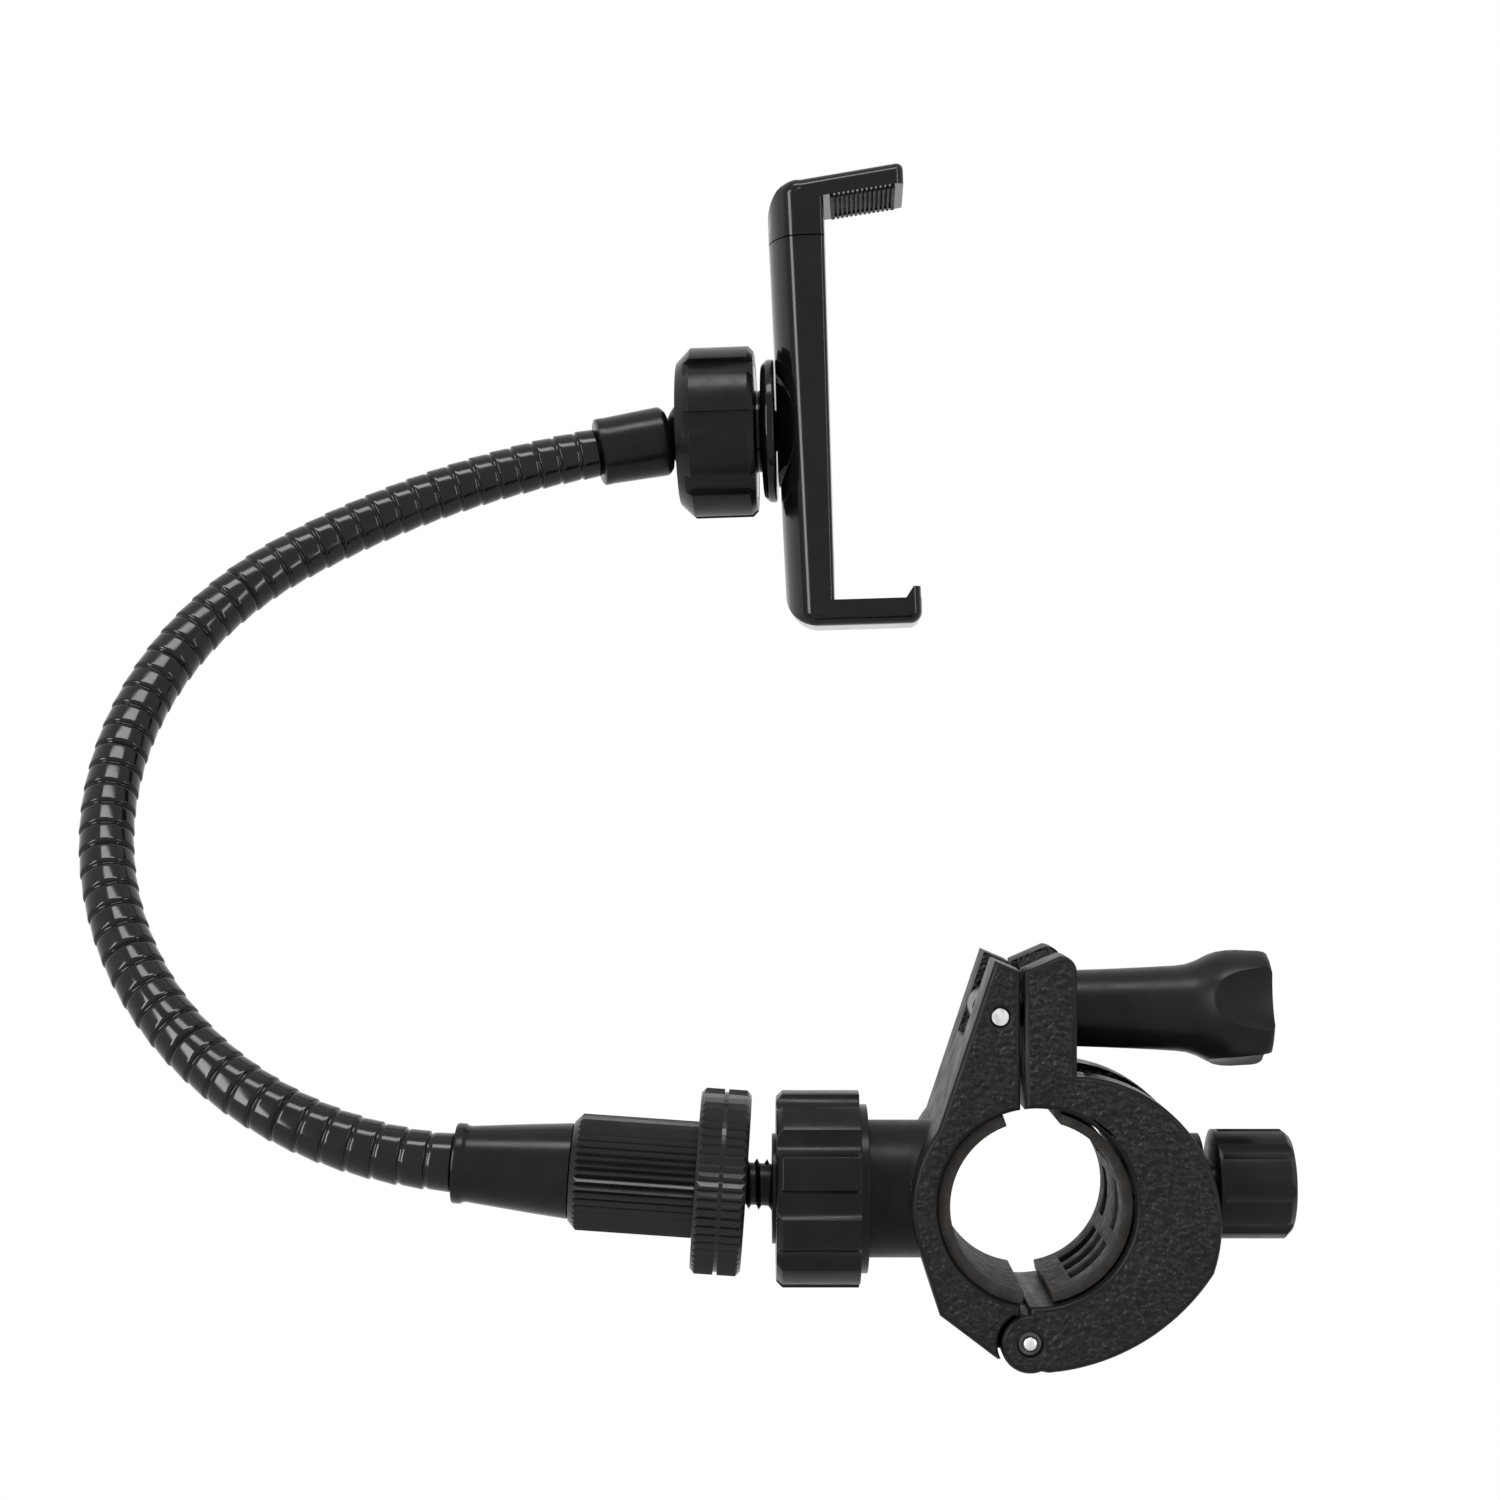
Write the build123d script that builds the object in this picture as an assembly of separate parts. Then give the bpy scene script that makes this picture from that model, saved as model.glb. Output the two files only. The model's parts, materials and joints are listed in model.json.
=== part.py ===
from build123d import *
from math import cos, pi, radians, sin, sqrt, tan
import os

# Handlebar clamp: bore along Y, bar centre at the origin, Z up
BAR_D = 21.0
LINER_T = 1.5
LINER_FIT = 0.05
CLAMP_DEPTH = 22.0
LINER_SETBACK = 1.0
SPLIT_X = -1.75
SPLIT_GAP = 0.5
SIDE_WALL = 3.2
SHOULDER_ANGLE = 142.0
CHEEK_ANGLE = 200.0
CHIN_ANGLE = 228.0
CHIN_WALL = 5.6
TIP_DROP = 1.8
EDGE_ROUND = 0.8
LEFT_LINER_START = 110.0
LEFT_LINER_STOP = 262.0
RIGHT_LINER_START = -80.0
RIGHT_LINER_STOP = 74.0
WINDOW_SPAN = 34.0
WINDOW_STEP = 44.0
WINDOW_MIDDLE = -3.0
WINDOW_WIDTH = 2.8
WINDOW_ROW_STEP = 4.8

# Jaw hinge at the foot of the clamp
HINGE_X = -0.8
HINGE_WALL = 0.95
EAR_R = 3.6
KNUCKLE_R = 3.3
KNUCKLE_WIDTH = 9.2
HINGE_GAP = 0.4
HINGE_PIN_R = 1.5
HINGE_PIN_SETBACK = 0.8

# Swinging jaw: one round arch with a lug for the swing bolt
ARCH_X = 4.4
ARCH_Z = -2.2
ARCH_WALL = 6.1
HEEL_Z = 6.5
RIM_DEPTH = 2.6
RIM_WIDTH = 5.8
RIM_SETBACK = 0.7
LUG_WALL = 3.5
LUG_POCKET = 2.9
LUG_ROUND = 2.0
LUG_RISE = 1.9

# Swing bolt and its thumb knob
PIVOT_INSET = 2.5
BOLT_RISE = 11.2
HORN_RISE = 6.8
HORN_DROP = 1.3
HORN_LEAN = 0.6
PIVOT_PIN_R = 1.1
BOLT_R = 2.5
EYE_R = 2.8
EYE_WIDTH = 6.8
BOLT_GAP = 0.4
SEAT_GAP = 0.3
WASHER_R = 4.6
WASHER_T = 1.0
NOSE_R = 4.7
SHANK_R = 5.4
SHANK_LENGTH = 16.2
KNOB_R = 7.65
KNOB_LENGTH = 26.4
KNOB_FLARE = 3.4
KNOB_WALL = 1.8
KNOB_ROUND = 0.8
SCOOP_COUNT = 4
SCOOP_R = 8.0
SCOOP_DEPTH = 1.7
SCOOP_TURN = 16.0

# Side knob whose screw presses the right-hand liner
SIDE_RISE = 1.2
BOSS_R = 6.3
BOSS_LENGTH = 9.35
PAD_GAP = 0.35
PAD_TRAVEL = 1.2
SIDE_SCREW_R = 2.5
SIDE_KNOB_R = 6.8
SIDE_KNOB_LENGTH = 9.8
SIDE_NECK_R = 5.2
SIDE_FLUTES = 8
SIDE_FLUTE_R = 1.6
SIDE_FLUTE_DEPTH = 0.6

# Ball head on the fixed jaw
POST_RISE = 0.6
POST_WALL = 1.1
POST_LENGTH = 5.0
POST_SCREW_R = 2.0
POST_SCREW_HEAD_R = 3.4
POST_SCREW_HEAD_T = 1.4
BALL_R = 6.5
SEAT_T = 0.85
SEAT_WIDTH = 3.4
SEAT_START = 1.8
CUP_RIM = 0.2
NUT_WALL = 3.7
NUT_LENGTH = 11.4
NUT_INSET = 1.2
NUT_SWING = 2.2
NUT_LIP_STEP = 1.75
NUT_LIP_T = 1.0
NUT_COLLAR_R = 6.85
NUT_COLLAR_T = 0.5
NUT_FLUTES = 10
NUT_FLUTE_R = 2.2
NUT_FLUTE_DEPTH = 1.1
NUT_FLUTE_TURN = 18.0

# Threaded stud, lock ring and knurled barrel, along the arm
STUD_R = 3.175
STUD_NECK_R = 2.7
STUD_NECK_LENGTH = 1.1
ARM_LEAN = 4.0
RING_GAP = 3.3
RING_R = 11.55
RING_LENGTH = 6.3
RING_TEETH = 60
RING_TOOTH = 0.4
RING_PARTING = 0.5
RING_PARTING_DEPTH = 0.35
RING_BEVEL = 0.6
BARREL_R = 7.25
BARREL_LENGTH = 15.5
BARREL_TEETH = 44
BARREL_TOOTH = 0.45
BARREL_BEVEL = 1.0
BARREL_THREAD_DEPTH = 10.5
FACE_GAP = 0.1

# Lower ferrule, where the neck leaves the barrel
FERRULE_LENGTH = 14.8
FERRULE_BASE_R = 5.95
FERRULE_TIP_R = 4.6
FERRULE_LIP_R = 5.0
FERRULE_LIP_T = 1.2
SPIGOT_R = 4.0
SPIGOT_LENGTH = 3.0
NECK_STUB = 8.0

# Ribbed neck: equal segments on two tangent arcs in one leaning plane
NECK_TILT = 34.0
NECK_R = 3.7
NECK_CORE_R = 3.3
RIB_PITCH = 3.254
RIB_GROOVE = 0.6
TURNS_PER_SEGMENT = 5
LOWER_BEND_R = 53.5
UPPER_BEND_R = 125.0
LOWER_SEGMENTS = 8
UPPER_SEGMENTS = 3
LINK_BALL_R = 2.1
LINK_GAP = 0.3
LINK_FACE = 0.15
LINK_SWING = 16.5

# Upper boot and the ball that carries the phone clip
BOOT_R = 5.0
BOOT_SHOULDER_R = 5.25
BOOT_SHOULDER = 10.2
BOOT_LENGTH = 10.7
BOOT_NECK_R = 4.6
BOOT_CUP = 0.2
BOOT_STUB = 5.5
BOOT_WEB = 1.0
BALL_SHANK_R = 2.4
CLIP_BALL_R = 6.5
COLLET_WALL = 2.75
TOP_NUT_WALL = 2.7
TOP_NUT_INSET = 2.2
TOP_NUT_BEVEL = 2.2
TOP_NUT_GRIP = 2.4
TOP_NUT_MOUTH_R = 9.4
TOP_NUT_FLUTES = 8
TOP_NUT_FLUTE_WIDTH = 3.4
TOP_NUT_FLUTE_DEPTH = 1.0
CLIP_NECK_R = 6.2
CLIP_NECK_LENGTH = 1.0
DISC_R = 10.85
DISC_T = 2.0
DISC_ROUND = 0.9
SWIVEL_R = 3.0
SWIVEL_LENGTH = 2.0

# Phone clip, in its own frame: X out of the phone face, Z along the body
CLIP_YAW = -2.5
CLIP_PITCH = -1.6
CLIP_THICK = 8.0
CLIP_WIDTH = 18.0
CLIP_BACK_R = 13.5
CLIP_BACK_TAPER = 1.2
CLIP_DOWN = 30.3
CLIP_UP = 27.9
CLIP_ROUND = 5.0
CLIP_EDGE = 0.9
LOWER_ARM_T = 3.8
LOWER_ARM_REACH = 13.0
LOWER_ARM_ROUND = 1.8
HOOK_T = 2.3
HOOK_RISE = 1.7
CLIP_BACK_WALL = 2.4
CLIP_BOSS_R = 8.6
CLIP_BOSS_DEPTH = 3.3
COVER_T = 1.7
COVER_SIDE = 1.8
COVER_GAP = 0.1
SCREW_LAND = 13.0
CHANNEL_ROOM = 2.5
TONGUE_SIDE = 3.1
SLIDE_GAP = 0.2
TONGUE_ROOT = 1.5
JAW_RISE = 5.9
UPPER_ARM_T = 2.7
UPPER_ARM_REACH = 12.0
UPPER_ARM_SLOPE = 7.0
UPPER_ARM_FLARE = 0.5
UPPER_ARM_ROUND = 1.0
PAD_T = 1.2
PAD_SINK = 0.8
PAD_START = 1.0
PAD_LENGTH = 9.8
PAD_SIDE = 1.2
PAD_SLOTS = 13
PAD_SLOT = 0.35
PAD_SLOT_DEPTH = 0.8
SPRING_R = 1.6
SPRING_WIRE_R = 0.3
SPRING_TURNS = 12
SPRING_SLOT = 2.0
SPRING_TOP_WALL = 6.7
SPRING_GAP = 0.3
COVER_SCREW_R = 1.0
COVER_SCREW_HEAD_R = 1.9
COVER_SCREW_Y = 4.0
COVER_SCREW_BITE = 3.6

SHAFT_FIT = 0.05
SEAT_FIT = 0.02
FREE_GAP = 0.3
OVERCUT = 1.0

# Places worked out from the sizes above
bore_r = BAR_D / 2
jaw_r = bore_r + LINER_T + LINER_FIT
half_depth = CLAMP_DEPTH / 2
split_left = SPLIT_X - SPLIT_GAP / 2
split_right = SPLIT_X + SPLIT_GAP / 2
hinge_z = -(jaw_r + HINGE_WALL + EAR_R)
bolt_z = jaw_r + BOLT_RISE
horn_z = bolt_z + HORN_RISE
pivot_x = split_left - PIVOT_INSET
side_r = jaw_r + SIDE_WALL
side_x = -side_r
seat_x = split_right + LUG_WALL
lug_x = seat_x + LUG_POCKET
knob_start = seat_x + SEAT_GAP + WASHER_T + FACE_GAP
knob_end = knob_start + KNOB_LENGTH
bolt_end = knob_end - KNOB_WALL - FREE_GAP
boss_end = jaw_r + BOSS_LENGTH
side_knob_x = boss_end + PAD_TRAVEL + FREE_GAP
side_knob_end = side_knob_x + SIDE_KNOB_LENGTH
far = 4 * (jaw_r + ARCH_WALL + CLIP_DOWN)

pocket_r = BALL_R + SEAT_T + 2 * SHAFT_FIT
post_r = pocket_r + POST_WALL
nut_r = post_r + NUT_WALL
nut_mouth = BALL_R - NUT_INSET
nut_back = NUT_LENGTH - nut_mouth
ball_x = side_x - POST_LENGTH - nut_back
ball_centre = (ball_x, 0, POST_RISE)
arm = Pos(*ball_centre) * Rot(0, ARM_LEAN, 0)
ring_start = nut_mouth + NUT_COLLAR_T + RING_GAP
barrel_start = ring_start + RING_LENGTH + FACE_GAP
ferrule_start = barrel_start + BARREL_LENGTH
neck_start = ferrule_start + FERRULE_LENGTH
stud_end = barrel_start + BARREL_THREAD_DEPTH - FACE_GAP

segment_length = TURNS_PER_SEGMENT * RIB_PITCH
neck_plane = Plane(
    origin=(-neck_start, 0, 0),
    x_dir=(-1, 0, 0),
    z_dir=(0, cos(radians(NECK_TILT)), -sin(radians(NECK_TILT))),
)


def neck_frames():
    """Frame at the start of each neck segment and at the neck's end, X along the neck."""
    frame = arm * neck_plane.location
    frames = [frame]
    bends = [LOWER_BEND_R] * LOWER_SEGMENTS + [UPPER_BEND_R] * UPPER_SEGMENTS
    for bend in bends:
        turn = segment_length / bend
        step = Pos(bend * sin(turn), bend * (1 - cos(turn)), 0) * Rot(0, 0, turn * 180 / pi)
        frame = frame * step
        frames.append(frame)
    return bends, frames


neck_bends, neck_places = neck_frames()
tip = neck_places[-1]
shank_start = BOOT_STUB + BOOT_WEB
clip_reach = BOOT_LENGTH - BOOT_CUP + CLIP_BALL_R
clip_centre = (tip * Pos(clip_reach, 0, 0)).position
clip = Pos(*clip_centre) * Rot(0, 0, CLIP_YAW) * Rot(0, CLIP_PITCH, 0)
clip_pocket_r = CLIP_BALL_R + SEAT_T + 2 * SHAFT_FIT
collet_r = clip_pocket_r + COLLET_WALL
top_nut_r = collet_r + SHAFT_FIT + TOP_NUT_WALL
top_nut_back = CLIP_BALL_R - TOP_NUT_INSET
top_nut_front = clip_pocket_r
disc_x = top_nut_front + CLIP_NECK_LENGTH
clip_back_x = disc_x + DISC_T + FREE_GAP
clip_face_x = clip_back_x + CLIP_THICK
clip_half = CLIP_WIDTH / 2
cover_x = clip_face_x - COVER_T
channel_x = clip_back_x + CLIP_BACK_WALL
channel_half = clip_half - TONGUE_SIDE
lower_grip_z = LOWER_ARM_T - CLIP_DOWN
channel_foot_z = lower_grip_z + SCREW_LAND
cover_screw_z = lower_grip_z + SCREW_LAND / 2
tongue_foot_z = channel_foot_z + CHANNEL_ROOM
jaw_foot_z = CLIP_UP + SLIDE_GAP
upper_grip_z = CLIP_UP + JAW_RISE
spring_top_z = CLIP_UP - SPRING_TOP_WALL


def slab(face, y0, y1):
    """Extrude a face drawn in the XZ plane from y0 to y1."""
    return extrude(Plane((0, y1, 0), x_dir=(1, 0, 0), z_dir=(0, -1, 0)) * face, amount=y1 - y0)


def block(x0, x1, y0, y1, z0, z1):
    """Box between two corners."""
    return Pos((x0 + x1) / 2, (y0 + y1) / 2, (z0 + z1) / 2) * Box(x1 - x0, y1 - y0, z1 - z0)


def rod_x(x0, x1, radius, y=0.0, z=0.0):
    """Cylinder along X."""
    return Pos((x0 + x1) / 2, y, z) * Rot(0, 90, 0) * Cylinder(radius, x1 - x0)


def rod_y(y0, y1, radius, x=0.0, z=0.0):
    """Cylinder along Y."""
    return Pos(x, (y0 + y1) / 2, z) * Rot(90, 0, 0) * Cylinder(radius, y1 - y0)


def turned(*profile):
    """Solid of revolution about X from (x, radius) points."""
    outline = make_face(Polyline(*profile, close=True))
    return revolve(outline, axis=Axis.X)


def ball(radius):
    """Ball at the origin with its poles on the X axis."""
    return Rot(0, 90, 0) * Sphere(radius)


def on_circle(radius, angle):
    """Point of the XZ plane at an angle from +X, in degrees."""
    return (radius * cos(radians(angle)), radius * sin(radians(angle)))


def around_x(shape, count, start=0.0):
    """Copies of a shape evenly spaced about the X axis."""
    return [Rot(start + i * 360 / count, 0, 0) * shape for i in range(count)]


def knurled(x0, x1, radius, tooth, teeth):
    """Cylinder along X with straight V teeth."""
    points = []
    for i in range(teeth):
        crest = 2 * pi * i / teeth
        root = crest + pi / teeth
        points.append((radius * cos(crest), radius * sin(crest)))
        points.append(((radius - tooth) * cos(root), (radius - tooth) * sin(root)))
    face = make_face(Polyline(*points, close=True))
    return extrude(Plane((x0, 0, 0), x_dir=(0, 1, 0), z_dir=(1, 0, 0)) * face, amount=x1 - x0)


def ring_sector(inner, outer, start, stop):
    """Flat ring sector in the XZ plane between two angles, in degrees."""
    middle = (start + stop) / 2
    edges = [
        ThreePointArc(on_circle(outer, start), on_circle(outer, middle), on_circle(outer, stop)),
        Line(on_circle(outer, stop), on_circle(inner, stop)),
        ThreePointArc(on_circle(inner, stop), on_circle(inner, middle), on_circle(inner, start)),
        Line(on_circle(inner, start), on_circle(outer, start)),
    ]
    return make_face(edges)


def side_face_edges(shape):
    """Outer edges of the clamp's front and back faces."""
    faces = shape.faces().filter_by(Axis.Y).sort_by(Axis.Y)
    return faces[0].outer_wire().edges() + faces[-1].outer_wire().edges()


def fixed_jaw():
    shoulder = on_circle(side_r, SHOULDER_ANGLE)
    cheek = on_circle(side_r, CHEEK_ANGLE)
    chin = on_circle(jaw_r + CHIN_WALL, CHIN_ANGLE)
    tip_z = hinge_z - TIP_DROP
    tip_x = HINGE_X - EAR_R - HINGE_GAP
    peak = (pivot_x - HORN_LEAN, horn_z)
    crest = (split_left, horn_z - HORN_DROP)
    outline = make_face([
        Line((split_left, tip_z), crest),
        Line(crest, peak),
        Line(peak, shoulder),
        ThreePointArc(shoulder, (side_x, 0), cheek),
        Line(cheek, chin),
        Line(chin, (tip_x, tip_z)),
        Line((tip_x, tip_z), (split_left, tip_z)),
    ])
    jaw = slab(outline, -half_depth, half_depth)
    jaw -= rod_y(-half_depth, half_depth, jaw_r)
    jaw = fillet(side_face_edges(jaw), EDGE_ROUND)
    jaw += rod_x(side_x, -jaw_r, post_r, z=POST_RISE) - rod_y(-half_depth, half_depth, jaw_r)
    ear_room = rod_y(-half_depth, half_depth, EAR_R + HINGE_GAP, HINGE_X, hinge_z)
    half_knuckle = KNUCKLE_WIDTH / 2
    jaw -= ear_room - block(-far, far, -half_knuckle, half_knuckle, -far, far)
    jaw += rod_y(-half_knuckle, half_knuckle, KNUCKLE_R, HINGE_X, hinge_z)
    jaw -= rod_y(-half_depth, half_depth, HINGE_PIN_R + SEAT_FIT, HINGE_X, hinge_z)
    slot_half = EYE_WIDTH / 2 + BOLT_GAP
    jaw -= block(-far, far, -slot_half, slot_half, bolt_z - EYE_R - BOLT_GAP, far)
    jaw -= rod_y(-half_depth, half_depth, PIVOT_PIN_R + SEAT_FIT, pivot_x, bolt_z)
    return jaw - post_screw_room(SEAT_FIT)


def post_screw_room(gap):
    """Screw that holds the post from inside the bore, grown by a gap."""
    head_x = -jaw_r - POST_SCREW_HEAD_T
    tail_x = ball_x + pocket_r + 2 * FREE_GAP
    head = rod_x(head_x - gap, -jaw_r + LINER_T, POST_SCREW_HEAD_R + gap, z=POST_RISE)
    return head + rod_x(tail_x - gap, head_x, POST_SCREW_R + gap, z=POST_RISE)


def post_screw():
    return post_screw_room(0) - rod_y(-half_depth, half_depth, jaw_r)


def swing_jaw():
    lug_crown = horn_z - HORN_DROP + LUG_RISE
    lug_left = (split_right, horn_z - HORN_DROP)
    lug_bend = (lug_x - LUG_ROUND, lug_crown)
    lug_side = (lug_x, lug_crown - LUG_ROUND)
    lug = make_face([
        Line((split_right, 0), lug_left),
        Line(lug_left, lug_bend),
        RadiusArc(lug_bend, lug_side, LUG_ROUND),
        Line(lug_side, (lug_x, 0)),
        Line((lug_x, 0), (split_right, 0)),
    ])
    ear = Pos(HINGE_X, hinge_z) * Circle(EAR_R)
    arch_r = jaw_r + ARCH_WALL
    arch = Pos(ARCH_X, ARCH_Z) * Circle(arch_r)
    arch &= Pos(HINGE_X + far / 2, 0) * Rectangle(far, 2 * far)
    arch &= Pos(HINGE_X, HEEL_Z) * Circle(HEEL_Z - hinge_z + EAR_R)
    jaw = slab(arch + lug + ear, -half_depth, half_depth)
    jaw -= rod_y(-half_depth, half_depth, jaw_r)
    jaw = fillet(side_face_edges(jaw), EDGE_ROUND)
    rim = Pos(ARCH_X, ARCH_Z) * (Circle(2 * arch_r) - Circle(arch_r - RIM_DEPTH))
    rim &= Pos(lug_x + RIM_SETBACK + far / 2, 0) * Rectangle(far, 2 * far)
    rim_half = half_depth - RIM_WIDTH
    jaw -= slab(rim, -rim_half, rim_half)
    jaw -= rod_x(boss_end, far, SIDE_KNOB_R + FREE_GAP, z=SIDE_RISE)
    jaw += rod_x(jaw_r, boss_end, BOSS_R, z=SIDE_RISE) - rod_y(-half_depth, half_depth, jaw_r)
    knuckle_half = KNUCKLE_WIDTH / 2 + FREE_GAP
    jaw -= rod_y(-knuckle_half, knuckle_half, KNUCKLE_R + HINGE_GAP, HINGE_X, hinge_z)
    jaw -= rod_y(-half_depth, half_depth, HINGE_PIN_R + SHAFT_FIT, HINGE_X, hinge_z)
    jaw -= rod_x(0, far, SIDE_SCREW_R + SHAFT_FIT, z=SIDE_RISE)
    slot_half = BOLT_R + BOLT_GAP
    slot_x = split_right - OVERCUT
    jaw -= block(slot_x, seat_x, -slot_half, slot_half, bolt_z - slot_half, far)
    pocket_half = NOSE_R + BOLT_GAP
    jaw -= block(seat_x, far, -pocket_half, pocket_half, bolt_z - pocket_half, far)
    return jaw - block(slot_x, far, -pocket_half, pocket_half, bolt_z, far)


def liner(outer, start, stop):
    """Bore liner between two angles, set back from the clamp's faces."""
    reach = half_depth - LINER_SETBACK
    return slab(ring_sector(bore_r, outer, start, stop), -reach, reach)


def left_liner():
    return liner(jaw_r - LINER_FIT, LEFT_LINER_START, LEFT_LINER_STOP)


def right_liner():
    outer = jaw_r - PAD_GAP
    shell = liner(outer, RIGHT_LINER_START, RIGHT_LINER_STOP)
    for column in (-1, 0, 1):
        middle = WINDOW_MIDDLE + column * WINDOW_STEP
        start = middle - WINDOW_SPAN / 2
        window = ring_sector(bore_r - LINER_T, outer + LINER_T, start, start + WINDOW_SPAN)
        for row in (-1, 0, 1):
            if row == 0 and column == 0:
                continue
            low = row * WINDOW_ROW_STEP - WINDOW_WIDTH / 2
            shell -= slab(window, low, low + WINDOW_WIDTH)
    return shell


def hinge_pin():
    reach = half_depth - HINGE_PIN_SETBACK
    return rod_y(-reach, reach, HINGE_PIN_R, HINGE_X, hinge_z)


def pivot_pin():
    return rod_y(-half_depth, half_depth, PIVOT_PIN_R, pivot_x, bolt_z)


def swing_bolt():
    eye = rod_y(-EYE_WIDTH / 2, EYE_WIDTH / 2, EYE_R, pivot_x, bolt_z)
    bolt = eye + rod_x(pivot_x, bolt_end, BOLT_R, z=bolt_z)
    return bolt - rod_y(-half_depth, half_depth, PIVOT_PIN_R + SHAFT_FIT, pivot_x, bolt_z)


def knob_washer():
    start = seat_x + SEAT_GAP
    washer = rod_x(start, start + WASHER_T, WASHER_R, z=bolt_z)
    return washer - rod_x(start, start + WASHER_T, BOLT_R + SHAFT_FIT, z=bolt_z)


def thumb_knob():
    shank_end = knob_start + SHANK_LENGTH
    knob = turned(
        (knob_start, 0),
        (knob_start, NOSE_R),
        (shank_end, SHANK_R),
        (shank_end + KNOB_FLARE, KNOB_R),
        (knob_end - KNOB_ROUND, KNOB_R),
        (knob_end, KNOB_R - KNOB_ROUND),
        (knob_end, 0),
    )
    scoop = rod_x(shank_end, knob_end + OVERCUT, SCOOP_R, y=-(KNOB_R - SCOOP_DEPTH + SCOOP_R))
    for cut in around_x(scoop, SCOOP_COUNT, -SCOOP_TURN):
        knob -= cut
    knob -= rod_x(0, bolt_end + FREE_GAP, BOLT_R + SHAFT_FIT)
    return Pos(0, 0, bolt_z) * knob


def side_knob():
    knob = turned(
        (side_knob_x, 0),
        (side_knob_x, SIDE_NECK_R),
        (side_knob_x + FREE_GAP, SIDE_KNOB_R),
        (side_knob_end - KNOB_ROUND, SIDE_KNOB_R),
        (side_knob_end, SIDE_KNOB_R - KNOB_ROUND),
        (side_knob_end, 0),
    )
    flute_z = SIDE_KNOB_R - SIDE_FLUTE_DEPTH + SIDE_FLUTE_R
    flute = rod_x(side_knob_x + KNOB_ROUND, side_knob_end + OVERCUT, SIDE_FLUTE_R, z=flute_z)
    for cut in around_x(flute, SIDE_FLUTES):
        knob -= cut
    knob -= rod_x(0, side_knob_end - KNOB_WALL, SIDE_SCREW_R + SEAT_FIT)
    return Pos(0, 0, SIDE_RISE) * knob


def side_screw():
    return rod_x(jaw_r, side_knob_end - KNOB_WALL, SIDE_SCREW_R, z=SIDE_RISE)


def socket_post():
    post = rod_x(ball_x + CUP_RIM, side_x, post_r, z=POST_RISE)
    post -= Pos(*ball_centre) * ball(pocket_r)
    return post - post_screw_room(SEAT_FIT)


def seat_zone(ball_r):
    """Spherical ring that cups a ball at the origin, on its +X side."""
    zone = ball(ball_r + SEAT_T) - ball(ball_r + SHAFT_FIT)
    return zone & block(SEAT_START, SEAT_START + SEAT_WIDTH, -far, far, -far, far)


def ball_seat():
    return Pos(*ball_centre) * seat_zone(BALL_R)


def ball_lock_nut():
    lip_x = nut_back - NUT_LIP_T
    lip_r = nut_r - NUT_LIP_STEP
    nut = turned(
        (-nut_mouth, 0),
        (-nut_mouth, nut_r - KNOB_ROUND),
        (-nut_mouth + KNOB_ROUND, nut_r),
        (lip_x, nut_r),
        (lip_x, lip_r),
        (nut_back, lip_r),
        (nut_back, 0),
    )
    flute_z = nut_r - NUT_FLUTE_DEPTH + NUT_FLUTE_R
    flute = rod_x(-nut_mouth - OVERCUT, lip_x, NUT_FLUTE_R, z=flute_z)
    for cut in around_x(flute, NUT_FLUTES, NUT_FLUTE_TURN):
        nut -= cut
    nut += rod_x(-nut_mouth - NUT_COLLAR_T, -nut_mouth, NUT_COLLAR_R)
    nut -= ball(BALL_R + 2 * SHAFT_FIT)
    nut -= rod_x(CUP_RIM - FREE_GAP, nut_back, post_r + SHAFT_FIT)
    nut -= rod_x(-far, 0, STUD_NECK_R + NUT_SWING)
    return Pos(*ball_centre) * nut


def ball_stud():
    thread_start = BALL_R + STUD_NECK_LENGTH
    stud = ball(BALL_R) + rod_x(-thread_start, 0, STUD_NECK_R)
    stud += rod_x(-stud_end, -thread_start, STUD_R)
    return arm * stud


def lock_ring():
    start = -ring_start - RING_LENGTH
    ring = knurled(start, -ring_start, RING_R, RING_TOOTH, RING_TEETH)
    ring &= turned(
        (start, 0),
        (start, RING_R - RING_BEVEL),
        (start + RING_BEVEL, RING_R),
        (-ring_start - RING_BEVEL, RING_R),
        (-ring_start, RING_R - RING_BEVEL),
        (-ring_start, 0),
    )
    middle = -ring_start - RING_LENGTH / 2
    parting = rod_x(middle - RING_PARTING / 2, middle + RING_PARTING / 2, 2 * RING_R)
    parting -= rod_x(middle - RING_PARTING, middle + RING_PARTING, RING_R - RING_PARTING_DEPTH)
    ring -= parting
    return arm * (ring - rod_x(start, -ring_start, STUD_R + SHAFT_FIT))


def barrel():
    start = -ferrule_start
    end = -barrel_start
    body = knurled(start, end, BARREL_R, BARREL_TOOTH, BARREL_TEETH)
    body &= turned(
        (start, 0),
        (start, BARREL_R - BARREL_BEVEL),
        (start + BARREL_BEVEL, BARREL_R),
        (end, BARREL_R),
        (end, 0),
    )
    body -= rod_x(end - BARREL_THREAD_DEPTH, end, STUD_R + SHAFT_FIT)
    body -= rod_x(start, start + SPIGOT_LENGTH + FACE_GAP, SPIGOT_R + SEAT_FIT)
    return arm * body


def lower_ferrule():
    tip_x = -neck_start
    base_x = -ferrule_start
    body = turned(
        (tip_x, 0),
        (tip_x, FERRULE_LIP_R),
        (tip_x + FERRULE_LIP_T, FERRULE_LIP_R),
        (tip_x + FERRULE_LIP_T, FERRULE_TIP_R),
        (base_x, FERRULE_BASE_R),
        (base_x, SPIGOT_R),
        (base_x + SPIGOT_LENGTH, SPIGOT_R),
        (base_x + SPIGOT_LENGTH, 0),
    )
    body -= rod_x(tip_x, tip_x + NECK_STUB + FACE_GAP, NECK_CORE_R + SEAT_FIT)
    return arm * body


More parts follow.
